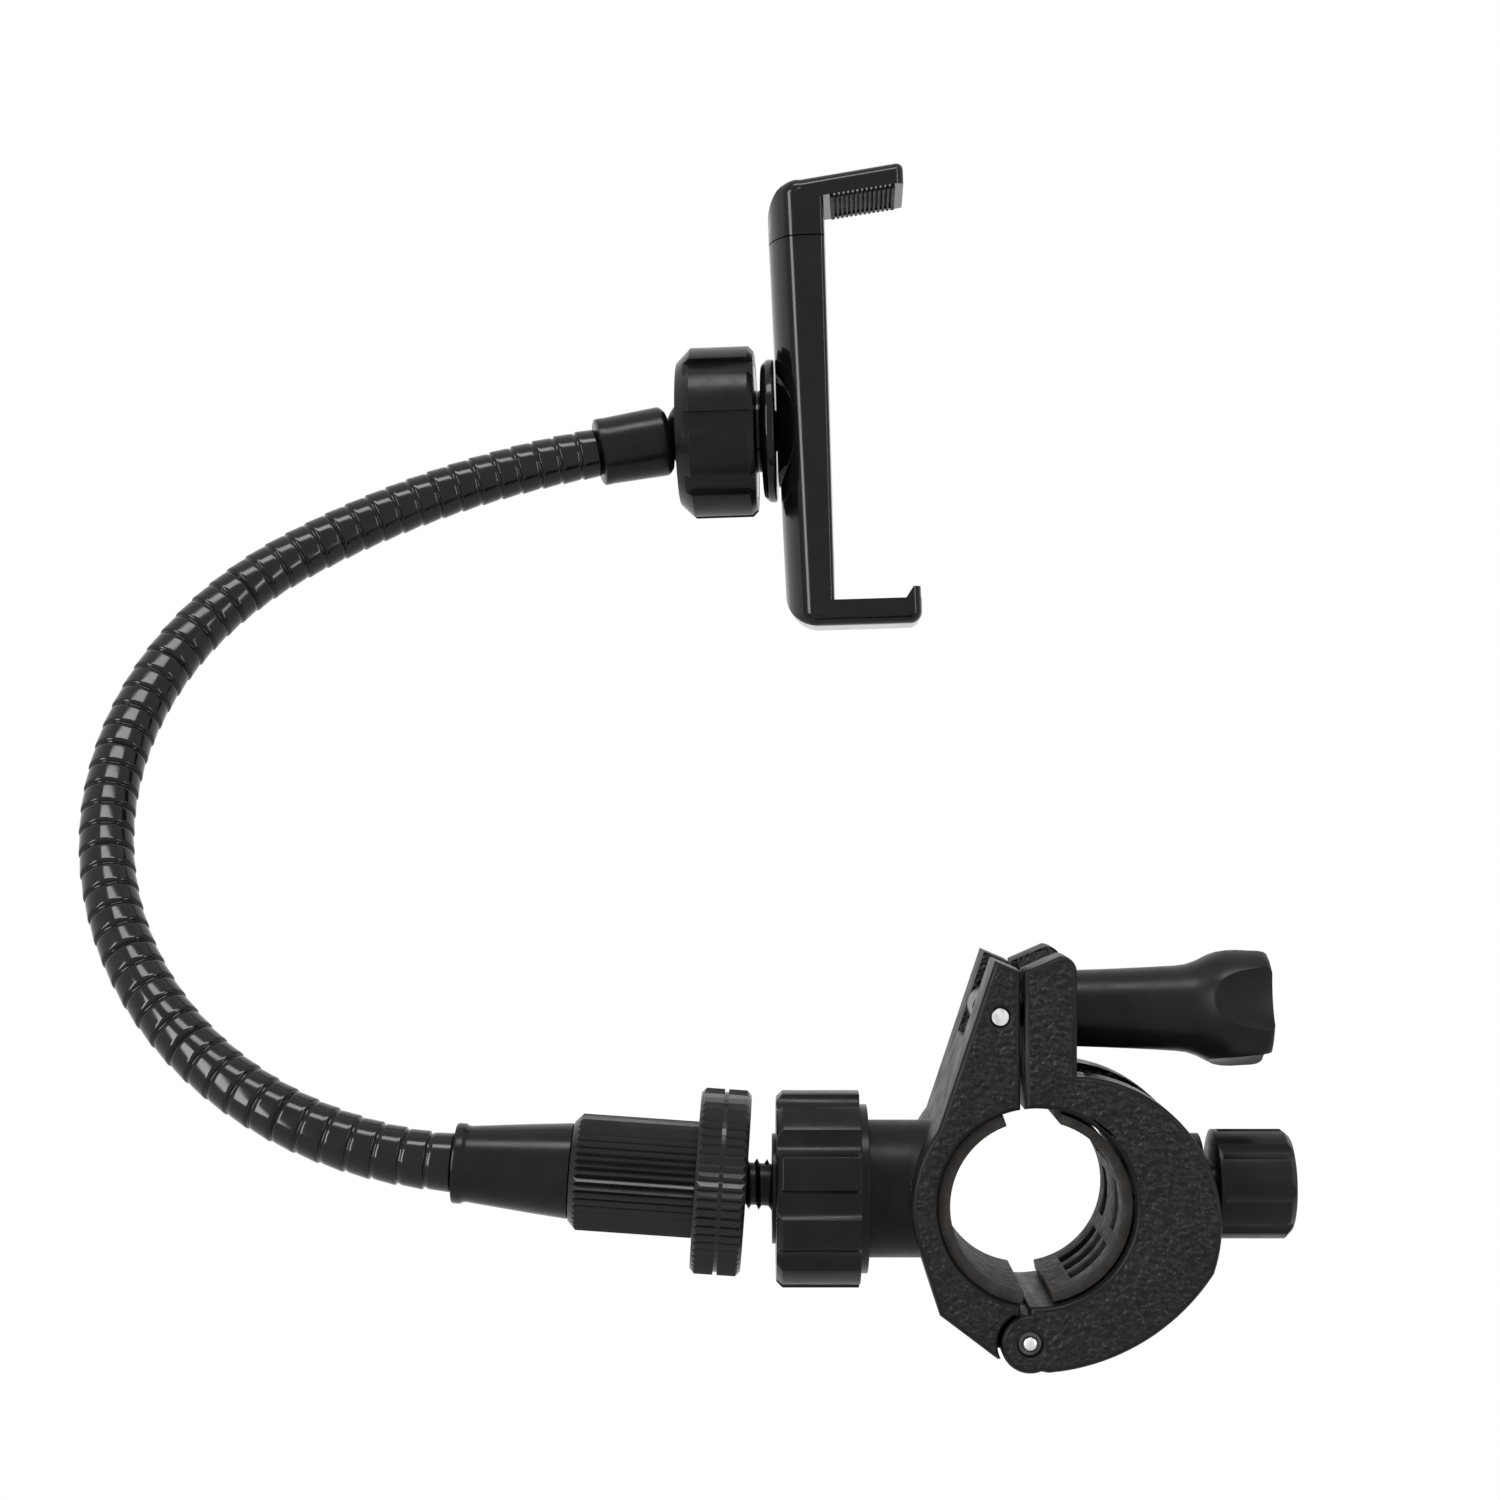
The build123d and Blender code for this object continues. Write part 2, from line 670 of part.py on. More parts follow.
def arc_tube(bend, radius, start, length):
    """Round bar along a left-hand arc from the origin, heading along +X."""
    centre = Axis((0, bend, 0), (0, 0, 1))
    tube = revolve(Plane.YZ * Circle(radius), axis=centre, revolution_arc=length / bend * 180 / pi)
    return tube.rotate(centre, start / bend * 180 / pi)


def link_relief():
    """Cone-faced slice taken off a segment's near end so that it can swing about the origin."""
    reach = 2 * NECK_R
    rise = LINK_FACE + reach * tan(radians(LINK_SWING / 2))
    return turned((-reach, 0), (-reach, reach), (rise, reach), (LINK_FACE, 0))


def neck_segment(index):
    bend = neck_bends[index]
    last = len(neck_bends) - 1
    segment = arc_tube(bend, NECK_CORE_R, 0, segment_length)
    for turn in range(TURNS_PER_SEGMENT):
        segment += arc_tube(bend, NECK_R, turn * RIB_PITCH + RIB_GROOVE / 2, RIB_PITCH - RIB_GROOVE)
    end = neck_places[index].inverse() * neck_places[index + 1]
    if index == 0:
        segment += rod_x(-NECK_STUB, 0, NECK_CORE_R)
    else:
        segment -= link_relief()
        segment -= ball(LINK_BALL_R + LINK_GAP)
    if index == last:
        segment += end * rod_x(0, BOOT_STUB, NECK_CORE_R)
    else:
        segment -= end * Rot(0, 180, 0) * link_relief()
        segment += end * ball(LINK_BALL_R)
    return neck_places[index] * segment


def upper_boot():
    boot = turned(
        (0, 0),
        (0, BOOT_R),
        (BOOT_SHOULDER, BOOT_SHOULDER_R),
        (BOOT_LENGTH, BOOT_NECK_R),
        (BOOT_LENGTH, 0),
    )
    boot -= rod_x(0, BOOT_STUB + FACE_GAP, NECK_CORE_R + SEAT_FIT)
    boot -= rod_x(shank_start - FACE_GAP, BOOT_LENGTH, BALL_SHANK_R + SEAT_FIT)
    return tip * (boot - Pos(clip_reach, 0, 0) * ball(CLIP_BALL_R + SEAT_FIT))


def clip_ball():
    shank = rod_x(shank_start, clip_reach, BALL_SHANK_R)
    return tip * (shank + Pos(clip_reach, 0, 0) * ball(CLIP_BALL_R))


def clip_ball_seat():
    return clip * seat_zone(CLIP_BALL_R)


def top_nut():
    nut = turned(
        (-top_nut_back, 0),
        (-top_nut_back, top_nut_r - TOP_NUT_BEVEL),
        (-top_nut_back + TOP_NUT_BEVEL, top_nut_r),
        (top_nut_front - KNOB_ROUND, top_nut_r),
        (top_nut_front, top_nut_r - KNOB_ROUND),
        (top_nut_front, 0),
    )
    half = TOP_NUT_FLUTE_WIDTH / 2
    floor = top_nut_r - TOP_NUT_FLUTE_DEPTH
    flute = block(-far, far, -half, half, floor, far)
    for cut in around_x(flute, TOP_NUT_FLUTES):
        nut -= cut
    nut -= ball(CLIP_BALL_R + 2 * SHAFT_FIT)
    nut -= rod_x(CUP_RIM - FREE_GAP, top_nut_front, collet_r + SHAFT_FIT)
    grip_r = sqrt(CLIP_BALL_R ** 2 - TOP_NUT_GRIP ** 2)
    nut -= turned(
        (-top_nut_back, 0),
        (-top_nut_back, TOP_NUT_MOUTH_R),
        (-TOP_NUT_GRIP, grip_r),
        (-TOP_NUT_GRIP, 0),
    )
    return clip * nut


def clip_socket():
    disc_end = disc_x + DISC_T
    swivel_end = disc_end + SWIVEL_LENGTH
    socket = turned(
        (CUP_RIM, 0),
        (CUP_RIM, collet_r),
        (top_nut_front, collet_r),
        (top_nut_front, CLIP_NECK_R),
        (disc_x, CLIP_NECK_R),
        (disc_x, DISC_R - DISC_ROUND),
        (disc_x + DISC_ROUND, DISC_R),
        (disc_end, DISC_R),
        (disc_end, SWIVEL_R),
        (swivel_end, SWIVEL_R),
        (swivel_end, 0),
    )
    return clip * (socket - ball(clip_pocket_r))


def ridge_x(z):
    """Where the ridge of the clip's rounded back lies at a height."""
    return clip_back_x - z * tan(radians(CLIP_BACK_TAPER))


def back_round():
    """Upright cylinder that rounds the clip's back and leans with its taper."""
    leaning = Rot(0, -CLIP_BACK_TAPER, 0) * Pos(CLIP_BACK_R, 0, 0) * Cylinder(CLIP_BACK_R, far)
    return Pos(clip_back_x, 0, 0) * leaning


def face_edges(shape, low, high):
    """Long edges beside the phone face between two heights."""
    upright = shape.edges().filter_by(Axis.Z).filter_by_position(Axis.Z, low, high)
    return upright.filter_by_position(Axis.X, clip_face_x - FACE_GAP, clip_face_x + FACE_GAP)


def clip_body():
    foot_z = -CLIP_DOWN
    reach = clip_face_x + LOWER_ARM_REACH
    corner = ridge_x(foot_z)
    hook_z = lower_grip_z + HOOK_RISE
    toe = (reach - LOWER_ARM_ROUND, foot_z)
    toe_side = (reach, foot_z + LOWER_ARM_ROUND)
    side = make_face([
        Line((ridge_x(CLIP_UP), CLIP_UP), (corner, foot_z + CLIP_ROUND)),
        RadiusArc((corner, foot_z + CLIP_ROUND), (corner + CLIP_ROUND, foot_z), -CLIP_ROUND),
        Line((corner + CLIP_ROUND, foot_z), toe),
        RadiusArc(toe, toe_side, -LOWER_ARM_ROUND),
        Line(toe_side, (reach, hook_z)),
        Line((reach, hook_z), (reach - HOOK_T / 2, hook_z)),
        Line((reach - HOOK_T / 2, hook_z), (reach - HOOK_T, lower_grip_z)),
        Line((reach - HOOK_T, lower_grip_z), (clip_face_x, lower_grip_z)),
        Line((clip_face_x, lower_grip_z), (clip_face_x, CLIP_UP)),
        Line((clip_face_x, CLIP_UP), (ridge_x(CLIP_UP), CLIP_UP)),
    ])
    body = slab(side, -clip_half, clip_half) & back_round()
    body = fillet(face_edges(body, lower_grip_z, CLIP_UP), CLIP_EDGE)
    body += rod_x(clip_back_x, clip_back_x + CLIP_BOSS_DEPTH, CLIP_BOSS_R)
    body -= block(channel_x, cover_x + OVERCUT, -channel_half, channel_half, channel_foot_z, far)
    cover_half = clip_half - COVER_SIDE
    body -= block(cover_x, far, -cover_half, cover_half, lower_grip_z + COVER_GAP, far)
    body -= rod_x(clip_back_x - OVERCUT, clip_back_x + SWIVEL_LENGTH, SWIVEL_R + SHAFT_FIT)
    return clip * (body - cover_screw_room(SEAT_FIT))


def clip_cover():
    half = clip_half - COVER_SIDE - COVER_GAP
    plate = block(cover_x, clip_face_x, -half, half, lower_grip_z + 2 * COVER_GAP, CLIP_UP)
    return clip * (plate - cover_screw_room(SEAT_FIT))


def cover_screw_room(gap):
    """Both cover screws, grown by a gap."""
    head_x = clip_face_x - COVER_T / 2
    room = Part()
    for side in (-1, 1):
        y = side * COVER_SCREW_Y
        room += rod_x(cover_x - COVER_SCREW_BITE - gap, head_x, COVER_SCREW_R + gap, y, cover_screw_z)
        room += rod_x(head_x - gap, clip_face_x, COVER_SCREW_HEAD_R + gap, y, cover_screw_z)
    return room


def cover_screws():
    return clip * cover_screw_room(0)


def slide_jaw():
    climb = tan(radians(UPPER_ARM_SLOPE))
    reach = clip_face_x + UPPER_ARM_REACH
    tip_z = upper_grip_z + UPPER_ARM_REACH * climb
    top_z = upper_grip_z + UPPER_ARM_T
    tip_top_z = tip_z + UPPER_ARM_T + UPPER_ARM_FLARE
    back = ridge_x(jaw_foot_z)
    toe = (reach - UPPER_ARM_ROUND, tip_top_z)
    toe_side = (reach, tip_top_z - UPPER_ARM_ROUND)
    side = make_face([
        Line((back, jaw_foot_z), (back, top_z - CLIP_ROUND)),
        RadiusArc((back, top_z - CLIP_ROUND), (back + CLIP_ROUND, top_z), CLIP_ROUND),
        Line((back + CLIP_ROUND, top_z), toe),
        RadiusArc(toe, toe_side, UPPER_ARM_ROUND),
        Line(toe_side, (reach, tip_z)),
        Line((reach, tip_z), (clip_face_x, upper_grip_z)),
        Line((clip_face_x, upper_grip_z), (clip_face_x, jaw_foot_z)),
        Line((clip_face_x, jaw_foot_z), (back, jaw_foot_z)),
    ])
    jaw = slab(side, -clip_half, clip_half) & back_round()
    jaw = fillet(face_edges(jaw, jaw_foot_z, upper_grip_z), CLIP_EDGE)
    tongue_half = channel_half - SLIDE_GAP
    tongue_front = cover_x - SLIDE_GAP
    tongue_back = channel_x + SLIDE_GAP
    root_z = jaw_foot_z + TONGUE_ROOT
    jaw += block(tongue_back, tongue_front, -tongue_half, tongue_half, tongue_foot_z, root_z)
    slot_foot = tongue_foot_z - OVERCUT
    jaw -= block(channel_x, cover_x, -SPRING_SLOT, SPRING_SLOT, slot_foot, spring_top_z)
    return clip * (jaw - pad_block(SEAT_FIT, OVERCUT))


def pad_block(gap, drop):
    """Block for the pad under the sloping arm, grown by a gap and let down by a drop."""
    half = clip_half - PAD_SIDE + gap
    end = PAD_START + PAD_LENGTH + gap
    pad = block(PAD_START - gap, end, -half, half, PAD_SINK - PAD_T - drop, PAD_SINK + gap)
    return Pos(clip_face_x, 0, upper_grip_z) * Rot(0, -UPPER_ARM_SLOPE, 0) * pad


def jaw_pad():
    pad = pad_block(0, 0)
    half = clip_half - PAD_SIDE
    foot = PAD_SINK - PAD_T
    step = PAD_LENGTH / (PAD_SLOTS + 1)
    for i in range(PAD_SLOTS):
        low = PAD_START + (i + 1) * step - PAD_SLOT / 2
        slot = block(low, low + PAD_SLOT, -half, half, foot, foot + PAD_SLOT_DEPTH)
        pad -= Pos(clip_face_x, 0, upper_grip_z) * Rot(0, -UPPER_ARM_SLOPE, 0) * slot
    return clip * pad


def clip_spring():
    foot = channel_foot_z + SPRING_GAP + SPRING_WIRE_R
    height = spring_top_z - SPRING_GAP - SPRING_WIRE_R - foot
    helix = Helix(pitch=height / SPRING_TURNS, height=height, radius=SPRING_R - SPRING_WIRE_R)
    wire = Plane(origin=helix @ 0, z_dir=helix % 0) * Circle(SPRING_WIRE_R)
    coil = sweep(wire, path=helix)
    return clip * Pos((channel_x + cover_x) / 2, 0, foot) * coil


def build_nodes():
    nodes = {
        "fixed_jaw": fixed_jaw(),
        "swing_jaw": swing_jaw(),
        "left_liner": left_liner(),
        "right_liner": right_liner(),
        "hinge_pin": hinge_pin(),
        "bolt_pivot_pin": pivot_pin(),
        "swing_bolt": swing_bolt(),
        "knob_washer": knob_washer(),
        "thumb_knob": thumb_knob(),
        "side_knob": side_knob(),
        "side_screw": side_screw(),
        "socket_post": socket_post(),
        "post_screw": post_screw(),
        "ball_seat": ball_seat(),
        "ball_lock_nut": ball_lock_nut(),
        "ball_stud": ball_stud(),
        "lock_ring": lock_ring(),
        "knurled_barrel": barrel(),
        "lower_ferrule": lower_ferrule(),
        "upper_boot": upper_boot(),
        "clip_ball": clip_ball(),
        "clip_ball_seat": clip_ball_seat(),
        "top_nut": top_nut(),
        "clip_socket": clip_socket(),
        "clip_body": clip_body(),
        "clip_cover": clip_cover(),
        "cover_screws": cover_screws(),
        "slide_jaw": slide_jaw(),
        "jaw_pad": jaw_pad(),
        "clip_spring": clip_spring(),
    }
    for index in range(len(neck_bends)):
        nodes[f"neck_segment_{index + 1:02d}"] = neck_segment(index)
    return nodes


if __name__ == "__main__":
    os.makedirs("parts", exist_ok=True)
    for name, shape in build_nodes().items():
        export_step(shape, f"parts/{name}.step")
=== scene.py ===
import bmesh
import bpy
import json
from math import cos, pi, radians, sin, tan
from mathutils import Matrix, Vector


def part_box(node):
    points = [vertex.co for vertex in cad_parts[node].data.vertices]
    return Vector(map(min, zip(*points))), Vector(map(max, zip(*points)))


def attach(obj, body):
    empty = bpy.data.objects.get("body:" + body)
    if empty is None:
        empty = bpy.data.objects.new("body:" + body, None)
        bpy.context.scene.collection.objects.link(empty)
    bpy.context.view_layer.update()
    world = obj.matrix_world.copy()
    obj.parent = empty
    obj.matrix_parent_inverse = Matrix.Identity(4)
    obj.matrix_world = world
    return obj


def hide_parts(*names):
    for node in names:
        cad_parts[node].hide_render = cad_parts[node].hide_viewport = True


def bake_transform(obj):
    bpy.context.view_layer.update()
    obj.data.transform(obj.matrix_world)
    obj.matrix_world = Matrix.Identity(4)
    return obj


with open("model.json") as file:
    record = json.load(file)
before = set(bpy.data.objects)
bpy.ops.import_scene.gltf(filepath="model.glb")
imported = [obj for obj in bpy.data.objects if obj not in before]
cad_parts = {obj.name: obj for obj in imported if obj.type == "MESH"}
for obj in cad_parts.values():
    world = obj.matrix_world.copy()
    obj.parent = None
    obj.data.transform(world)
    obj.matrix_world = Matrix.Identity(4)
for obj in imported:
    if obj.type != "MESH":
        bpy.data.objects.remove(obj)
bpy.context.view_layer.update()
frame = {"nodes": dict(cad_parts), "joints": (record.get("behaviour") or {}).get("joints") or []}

MM = 0.001
joints = {joint["name"]: joint for joint in frame["joints"]}

# Camera and picture, in pixels, mm of sensor and metres
PICTURE_SIDE = 1500
FOCAL_PIXELS = 2545
SENSOR = 36.0
CAMERA_PLACE = (-0.0349, -0.320, 0.0557)
NEAREST_SEEN = 0.01

# Floor and room, in metres and as shares of white; the arm turned right down stays above the floor
FLOOR_SIDE = 8
FLOOR_HEIGHT = -0.16
FLOOR_PALE = 0.8
FLOOR_ROUGHNESS = 0.8
# Where the floor starts to fade, where it is all white, and how white it is before
SHADOW_NEAR = 0.1
SHADOW_FAR = 0.35
FLOOR_WHITE = 0.8
# Light of the room, and the spot that the lamps look at
ROOM_LIGHT = 0.3
LIT_MIDDLE = (-0.045, 0.03, 0.06)

# Finishes: where a noise starts and ends its way from one value to the other
TONE_SPAN = (0.35, 0.68)
GLOSS_SPAN = (0.3, 0.7)
# How much lighter the light spots of moulded black are, and how deep its waves
LIGHT_SPOTS = 1.6
WAVINESS = 0.004 * MM
# Pebbles of the jaws: count per metre, depth, softness, and how finely and how far they stray
PEBBLES = 1400
PEBBLE_DEPTH = 0.4 * MM
PEBBLE_SOFTNESS = 0.35
STRAY_COUNT = 0.6 * PEBBLES
STRAY_REACH = 0.8 / PEBBLES
# Faces that look along the bar at least this squarely are pebbled
SQUARELY = 0.96

# Neck, as the solids have it
NECK_START = 45.8 * MM
RIB_PITCH = 3.254 * MM
RIBS_PER_SEGMENT = 5
LOWER_BEND_R = 53.5 * MM
UPPER_BEND_R = 125.0 * MM
LOWER_SEGMENTS = 8
UPPER_SEGMENTS = 3
# Bands that stay on the first body, which also sets where each later run starts, so that a joint falls
# inside it
SPLIT_RIBS = 2
# One band of the neck: distance along it and radius, in mm
BAND = [
    (0.0, 3.36), (0.1, 3.40), (0.2, 3.62), (0.36, 3.70), (0.7, 3.68), (2.55, 3.58), (2.92, 3.53),
    (3.06, 3.40),
]
BAND_SIDES = 48
CURVE_STEPS = 24

# Sleeves at the neck's ends: distance along each and radius, in mm
FERRULE_START = 31.0
FERRULE_PROFILE = [
    (0.0, 5.6), (0.2, 5.95), (0.5, 5.95), (6.0, 5.45), (12.9, 4.75), (13.3, 4.78), (13.6, 4.98),
    (13.9, 5.02), (14.5, 5.02), (14.75, 4.9), (14.8, 4.6), (14.8, 3.4),
]
BOOT_PROFILE = [
    (0.0, 3.4), (0.0, 4.7), (0.15, 4.98), (0.4, 5.06), (1.4, 5.02), (5.0, 5.12), (9.6, 5.25),
    (10.0, 5.22), (10.25, 5.05), (10.7, 4.6), (10.7, 1.6), (10.5, 0.8),
]
SLEEVE_SIDES = 72
# Pressed marks: distance along the sleeve, radius there, half width and half length, in mm
FERRULE_MARK = (11.0, 4.95, 0.55, 1.5)
BOOT_MARK = (4.6, 5.14, 0.95, 0.95)
MARK_DEPTH = 0.16

# Ball stud, in mm, with a quarter-inch camera thread
BALL_R = 6.5
BALL_TURNS = range(8, 160, 8)
STUD_NECK = 6.1
STUD_END = 13.0
THREAD_R = 3.175
THREAD_CORE_R = 2.62
THREAD_PITCH = 1.27
THREAD_START = 6.6
THREAD_TURNS = 5
THREAD_STEPS = 40

# Thumb knob: distance along it and radius, in mm, and the scoops in its head, in mm and degrees
KNOB_PROFILE = [
    (0.0, 4.3), (0.3, 4.65), (1.2, 4.74), (6.0, 4.9), (11.0, 5.12), (15.0, 5.34), (16.4, 5.52),
    (17.6, 5.9), (18.8, 6.5), (20.0, 7.1), (21.2, 7.45), (22.4, 7.6), (25.2, 7.64), (25.8, 7.52),
    (26.2, 7.25), (26.4, 6.8), (26.4, 1.0),
]
KNOB_SIDES = 96
SCOOPS = 4
SCOOP_R = 9.0
SCOOP_SIDES = 128
SCOOP_LENGTH = 24.0
SCOOP_START = 15.2
SCOOP_FLOOR = 5.35
SCOOP_TILT = -9.5
SCOOP_TURN = 74.0

# Pins: distance out from the solid's end and radius, in mm
# Outside this radius the hinge pin's end is painted dark as shade
DOME_R = 1.0
HINGE_END = [(-0.25, 1.5), (-0.05, 1.4), (0.0, DOME_R), (0.3, 0.9), (0.5, 0.65), (0.6, 0.3)]
PIVOT_END = [(-0.12, 1.1), (-0.02, 1.02), (0.0, 0.9), (0.0, 0.25)]
PIN_SIDES = 48

# Clip, in mm, as the solids have it
CLIP_HALF = 9.0
# Corners of the clip's side, outwards and upwards from its ball, and how round each one is
CLIP_CORNERS = [(13.43, 36.31, 2.1), (14.825, -30.3, 2.1), (31.75, -30.3, 1.8), (30.75, 38.6, 1.0)]
CORNER_STEPS = 8
# Soft side edges of the clip, in mm, at its arms and at its back, which meets the side at a slant
ARM_ROUND = 1.8
BACK_ROUND = 3.0
BACK_TURN = radians(49)
# Degrees from one level of their rounding to the next
SOFT_STEP = 10

# How far the other edges are rounded, in mm
JAW_SIDE_ROUND = 0.6
JAW_SIDE_STEPS = 4
JAW_ROUND = 0.18
LINER_ROUND = 0.15
CLIP_ROUND = 0.25
KNOB_ROUND = 0.25
GRIP_ROUND = 0.3
SOCKET_ROUND = 0.3
# What lies as near as this to a side, in mm, is on it; the soft block stands out by as much
CLOSE = 0.02

# Degrees by which an edge turns at least, to be rounded at a jaw's side or to count as sharp elsewhere
TURNED = 12
SHARP = 32
# Faces that turn by fewer degrees than this are one flat face
FLAT = 0.6
# Corners nearer than this lie on one spot
ONE_SPOT = 0.002 * MM


def deselect():
    """Leave nothing selected, in object mode."""
    if bpy.context.object and bpy.context.object.mode != "OBJECT":
        bpy.ops.object.mode_set(mode="OBJECT")
    bpy.ops.object.select_all(action="DESELECT")


def pick(piece):
    """Select one piece and make it active."""
    deselect()
    piece.select_set(True)
    bpy.context.view_layer.objects.active = piece


def settle(piece, place=None):
    """Put a piece in its place and keep the place in its mesh."""
    pick(piece)
    if place is not None:
        piece.matrix_world = place @ piece.matrix_world
    bpy.ops.object.transform_apply(location=True, rotation=True, scale=True)


def apply_modifiers(piece):
    """Make a piece's modifiers part of its mesh."""
    pick(piece)
    for name in [modifier.name for modifier in piece.modifiers]:
        bpy.ops.object.modifier_apply(modifier=name)


def smooth(piece, angle=SHARP):
    """Shade a piece smooth, apart from edges that turn by more than an angle."""
    pick(piece)
    bpy.ops.object.shade_smooth_by_angle(angle=radians(angle))


def along(origin, direction, side=(0, 1, 0)):
    """Matrix whose Z runs along a direction from an origin."""
    z = Vector(direction).normalized()
    x = Vector(side).cross(z).normalized()
    y = z.cross(x)
    turn = Matrix((x, y, z)).transposed().to_4x4()
    return Matrix.Translation(Vector(origin)) @ turn


def lathe(name, profile, place, sides=64):
    """Turned piece along its own Z: a disc drawn out and scaled from step to step, in mm."""
    deselect()
    height, radius = profile[0]
    bpy.ops.mesh.primitive_circle_add(vertices=sides, radius=radius * MM, fill_type="NGON")
    piece = bpy.context.object
    piece.name = name
    piece.data.name = name
    bpy.ops.object.mode_set(mode="EDIT")
    bpy.ops.mesh.select_mode(type="FACE")
    bpy.ops.mesh.select_all(action="SELECT")
    bpy.ops.transform.translate(value=(0, 0, height * MM))
    for next_height, next_radius in profile[1:]:
        rise = (next_height - height) * MM
        bpy.ops.mesh.extrude_region_move(TRANSFORM_OT_translate={"value": (0, 0, rise)})
        scale = next_radius / radius
        bpy.ops.transform.resize(value=(scale, scale, 1), center_override=(0, 0, next_height * MM))
        height, radius = next_height, next_radius
    bpy.ops.mesh.select_all(action="SELECT")
    bpy.ops.mesh.normals_make_consistent(inside=False)
    bpy.ops.object.mode_set(mode="OBJECT")
    settle(piece, place)
    return piece


def copied(node):
    """Copy of a solid with its flat faces whole, which stands for the solid."""
    deselect()
    source = frame["nodes"][node]
    source.select_set(True)
    bpy.context.view_layer.objects.active = source
    bpy.ops.object.duplicate()
    copy = bpy.context.object
    copy.name = f"{node}_rounded"
    copy.data.name = copy.name
    copy.parent = None
    for key in list(copy.keys()):
        del copy[key]
    bpy.ops.object.mode_set(mode="EDIT")
    bpy.ops.mesh.select_all(action="SELECT")
    bpy.ops.mesh.remove_doubles(threshold=ONE_SPOT)
    bpy.ops.mesh.dissolve_limited(angle_limit=radians(FLAT))
    bpy.ops.object.mode_set(mode="OBJECT")
    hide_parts(node)
    return copy


def round_sides(jaw, half):
    """Round the sharp edges of a jaw's two sides, which lie further out along the bar than half."""
    pick(jaw)
    bpy.ops.object.mode_set(mode="EDIT")
    mesh = bmesh.from_edit_mesh(jaw.data)
    weight = mesh.edges.layers.float.new("bevel_weight_edge")
    for edge in mesh.edges:
        if edge.is_manifold and edge.calc_face_angle() > radians(TURNED):
            edge[weight] = min(abs(end.co.y) for end in edge.verts) > half
    bmesh.update_edit_mesh(jaw.data)
    bpy.ops.object.mode_set(mode="OBJECT")
    bevel = jaw.modifiers.new("outline", "BEVEL")
    bevel.width = JAW_SIDE_ROUND * MM
    bevel.segments = JAW_SIDE_STEPS
    bevel.limit_method = "WEIGHT"
    bevel.use_clamp_overlap = False
    bevel.loop_slide = False
    apply_modifiers(jaw)
    jaw.data.attributes.remove(jaw.data.attributes["bevel_weight_edge"])


def round_edges(piece, width, steps=2, angle=SHARP):
    """Round every sharp edge of a piece by a width in mm."""
    bevel = piece.modifiers.new("rounding", "BEVEL")
    bevel.width = width * MM
    bevel.segments = steps
    bevel.limit_method = "ANGLE"
    bevel.angle_limit = radians(angle)
    bevel.use_clamp_overlap = True
    bevel.miter_outer = "MITER_ARC"
    apply_modifiers(piece)
    smooth(piece, angle)


def merge_spots(piece):
    """Merge corners that the rounding left on one spot, and drop faces without width."""
    pick(piece)
    bpy.ops.object.mode_set(mode="EDIT")
    bpy.ops.mesh.select_all(action="SELECT")
    bpy.ops.mesh.remove_doubles(threshold=ONE_SPOT)
    bpy.ops.mesh.dissolve_degenerate(threshold=ONE_SPOT)
    bpy.ops.object.mode_set(mode="OBJECT")


def keep_flat(piece):
    """Let the flat faces of a piece set the shading beside them."""
    weighted = piece.modifiers.new("flat faces", "WEIGHTED_NORMAL")
    weighted.keep_sharp = True
    apply_modifiers(piece)


def cut(piece, cutter, operation="DIFFERENCE"):
    """Take a cutter away from a piece, or keep what both have."""
    carve = piece.modifiers.new("carve", "BOOLEAN")
    carve.operation = operation
    carve.solver = "EXACT"
    carve.object = cutter
    apply_modifiers(piece)
    bpy.data.objects.remove(cutter)


def dress(piece, body, slot, *materials):
    """Give a piece its finish and its body; the slot it is given is not used."""
    piece.data.materials.clear()
    for material in materials:
        piece.data.materials.append(material)
    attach(piece, body)


def new_material(name, metallic=0.0, specular=0.5):
    """Material whose colour and roughness are still to come."""
    material = bpy.data.materials.new(name)
    material.use_nodes = True
    shader = material.node_tree.nodes["Principled BSDF"]
    shader.inputs["Metallic"].default_value = metallic
    shader.inputs["Specular IOR Level"].default_value = specular
    return material


def noise(material, scale, detail):
    """Noise on the piece's own coordinates, counted per metre."""
    nodes = material.node_tree.nodes
    place = nodes.new("ShaderNodeTexCoord")
    texture = nodes.new("ShaderNodeTexNoise")
    texture.inputs["Scale"].default_value = scale
    texture.inputs["Detail"].default_value = detail
    material.node_tree.links.new(place.outputs["Object"], texture.inputs["Vector"])
    return texture.outputs["Fac"]


def shade_between(material, source, dark, light):
    """Base colour that wanders between two tones."""
    ramp = material.node_tree.nodes.new("ShaderNodeValToRGB")
    for element, position, tone in zip(ramp.color_ramp.elements, TONE_SPAN, (dark, light)):
        element.position = position
        element.color = (*tone, 1)
    shader = material.node_tree.nodes["Principled BSDF"]
    material.node_tree.links.new(source, ramp.inputs["Fac"])
    material.node_tree.links.new(ramp.outputs["Color"], shader.inputs["Base Color"])


def roughen(material, source, low, high):
    """Roughness that wanders between two values."""
    spread = material.node_tree.nodes.new("ShaderNodeMapRange")
    spread.inputs["From Min"].default_value = GLOSS_SPAN[0]
    spread.inputs["From Max"].default_value = GLOSS_SPAN[1]
    spread.inputs["To Min"].default_value = low
    spread.inputs["To Max"].default_value = high
    shader = material.node_tree.nodes["Principled BSDF"]
    material.node_tree.links.new(source, spread.inputs["Value"])
    material.node_tree.links.new(spread.outputs["Result"], shader.inputs["Roughness"])


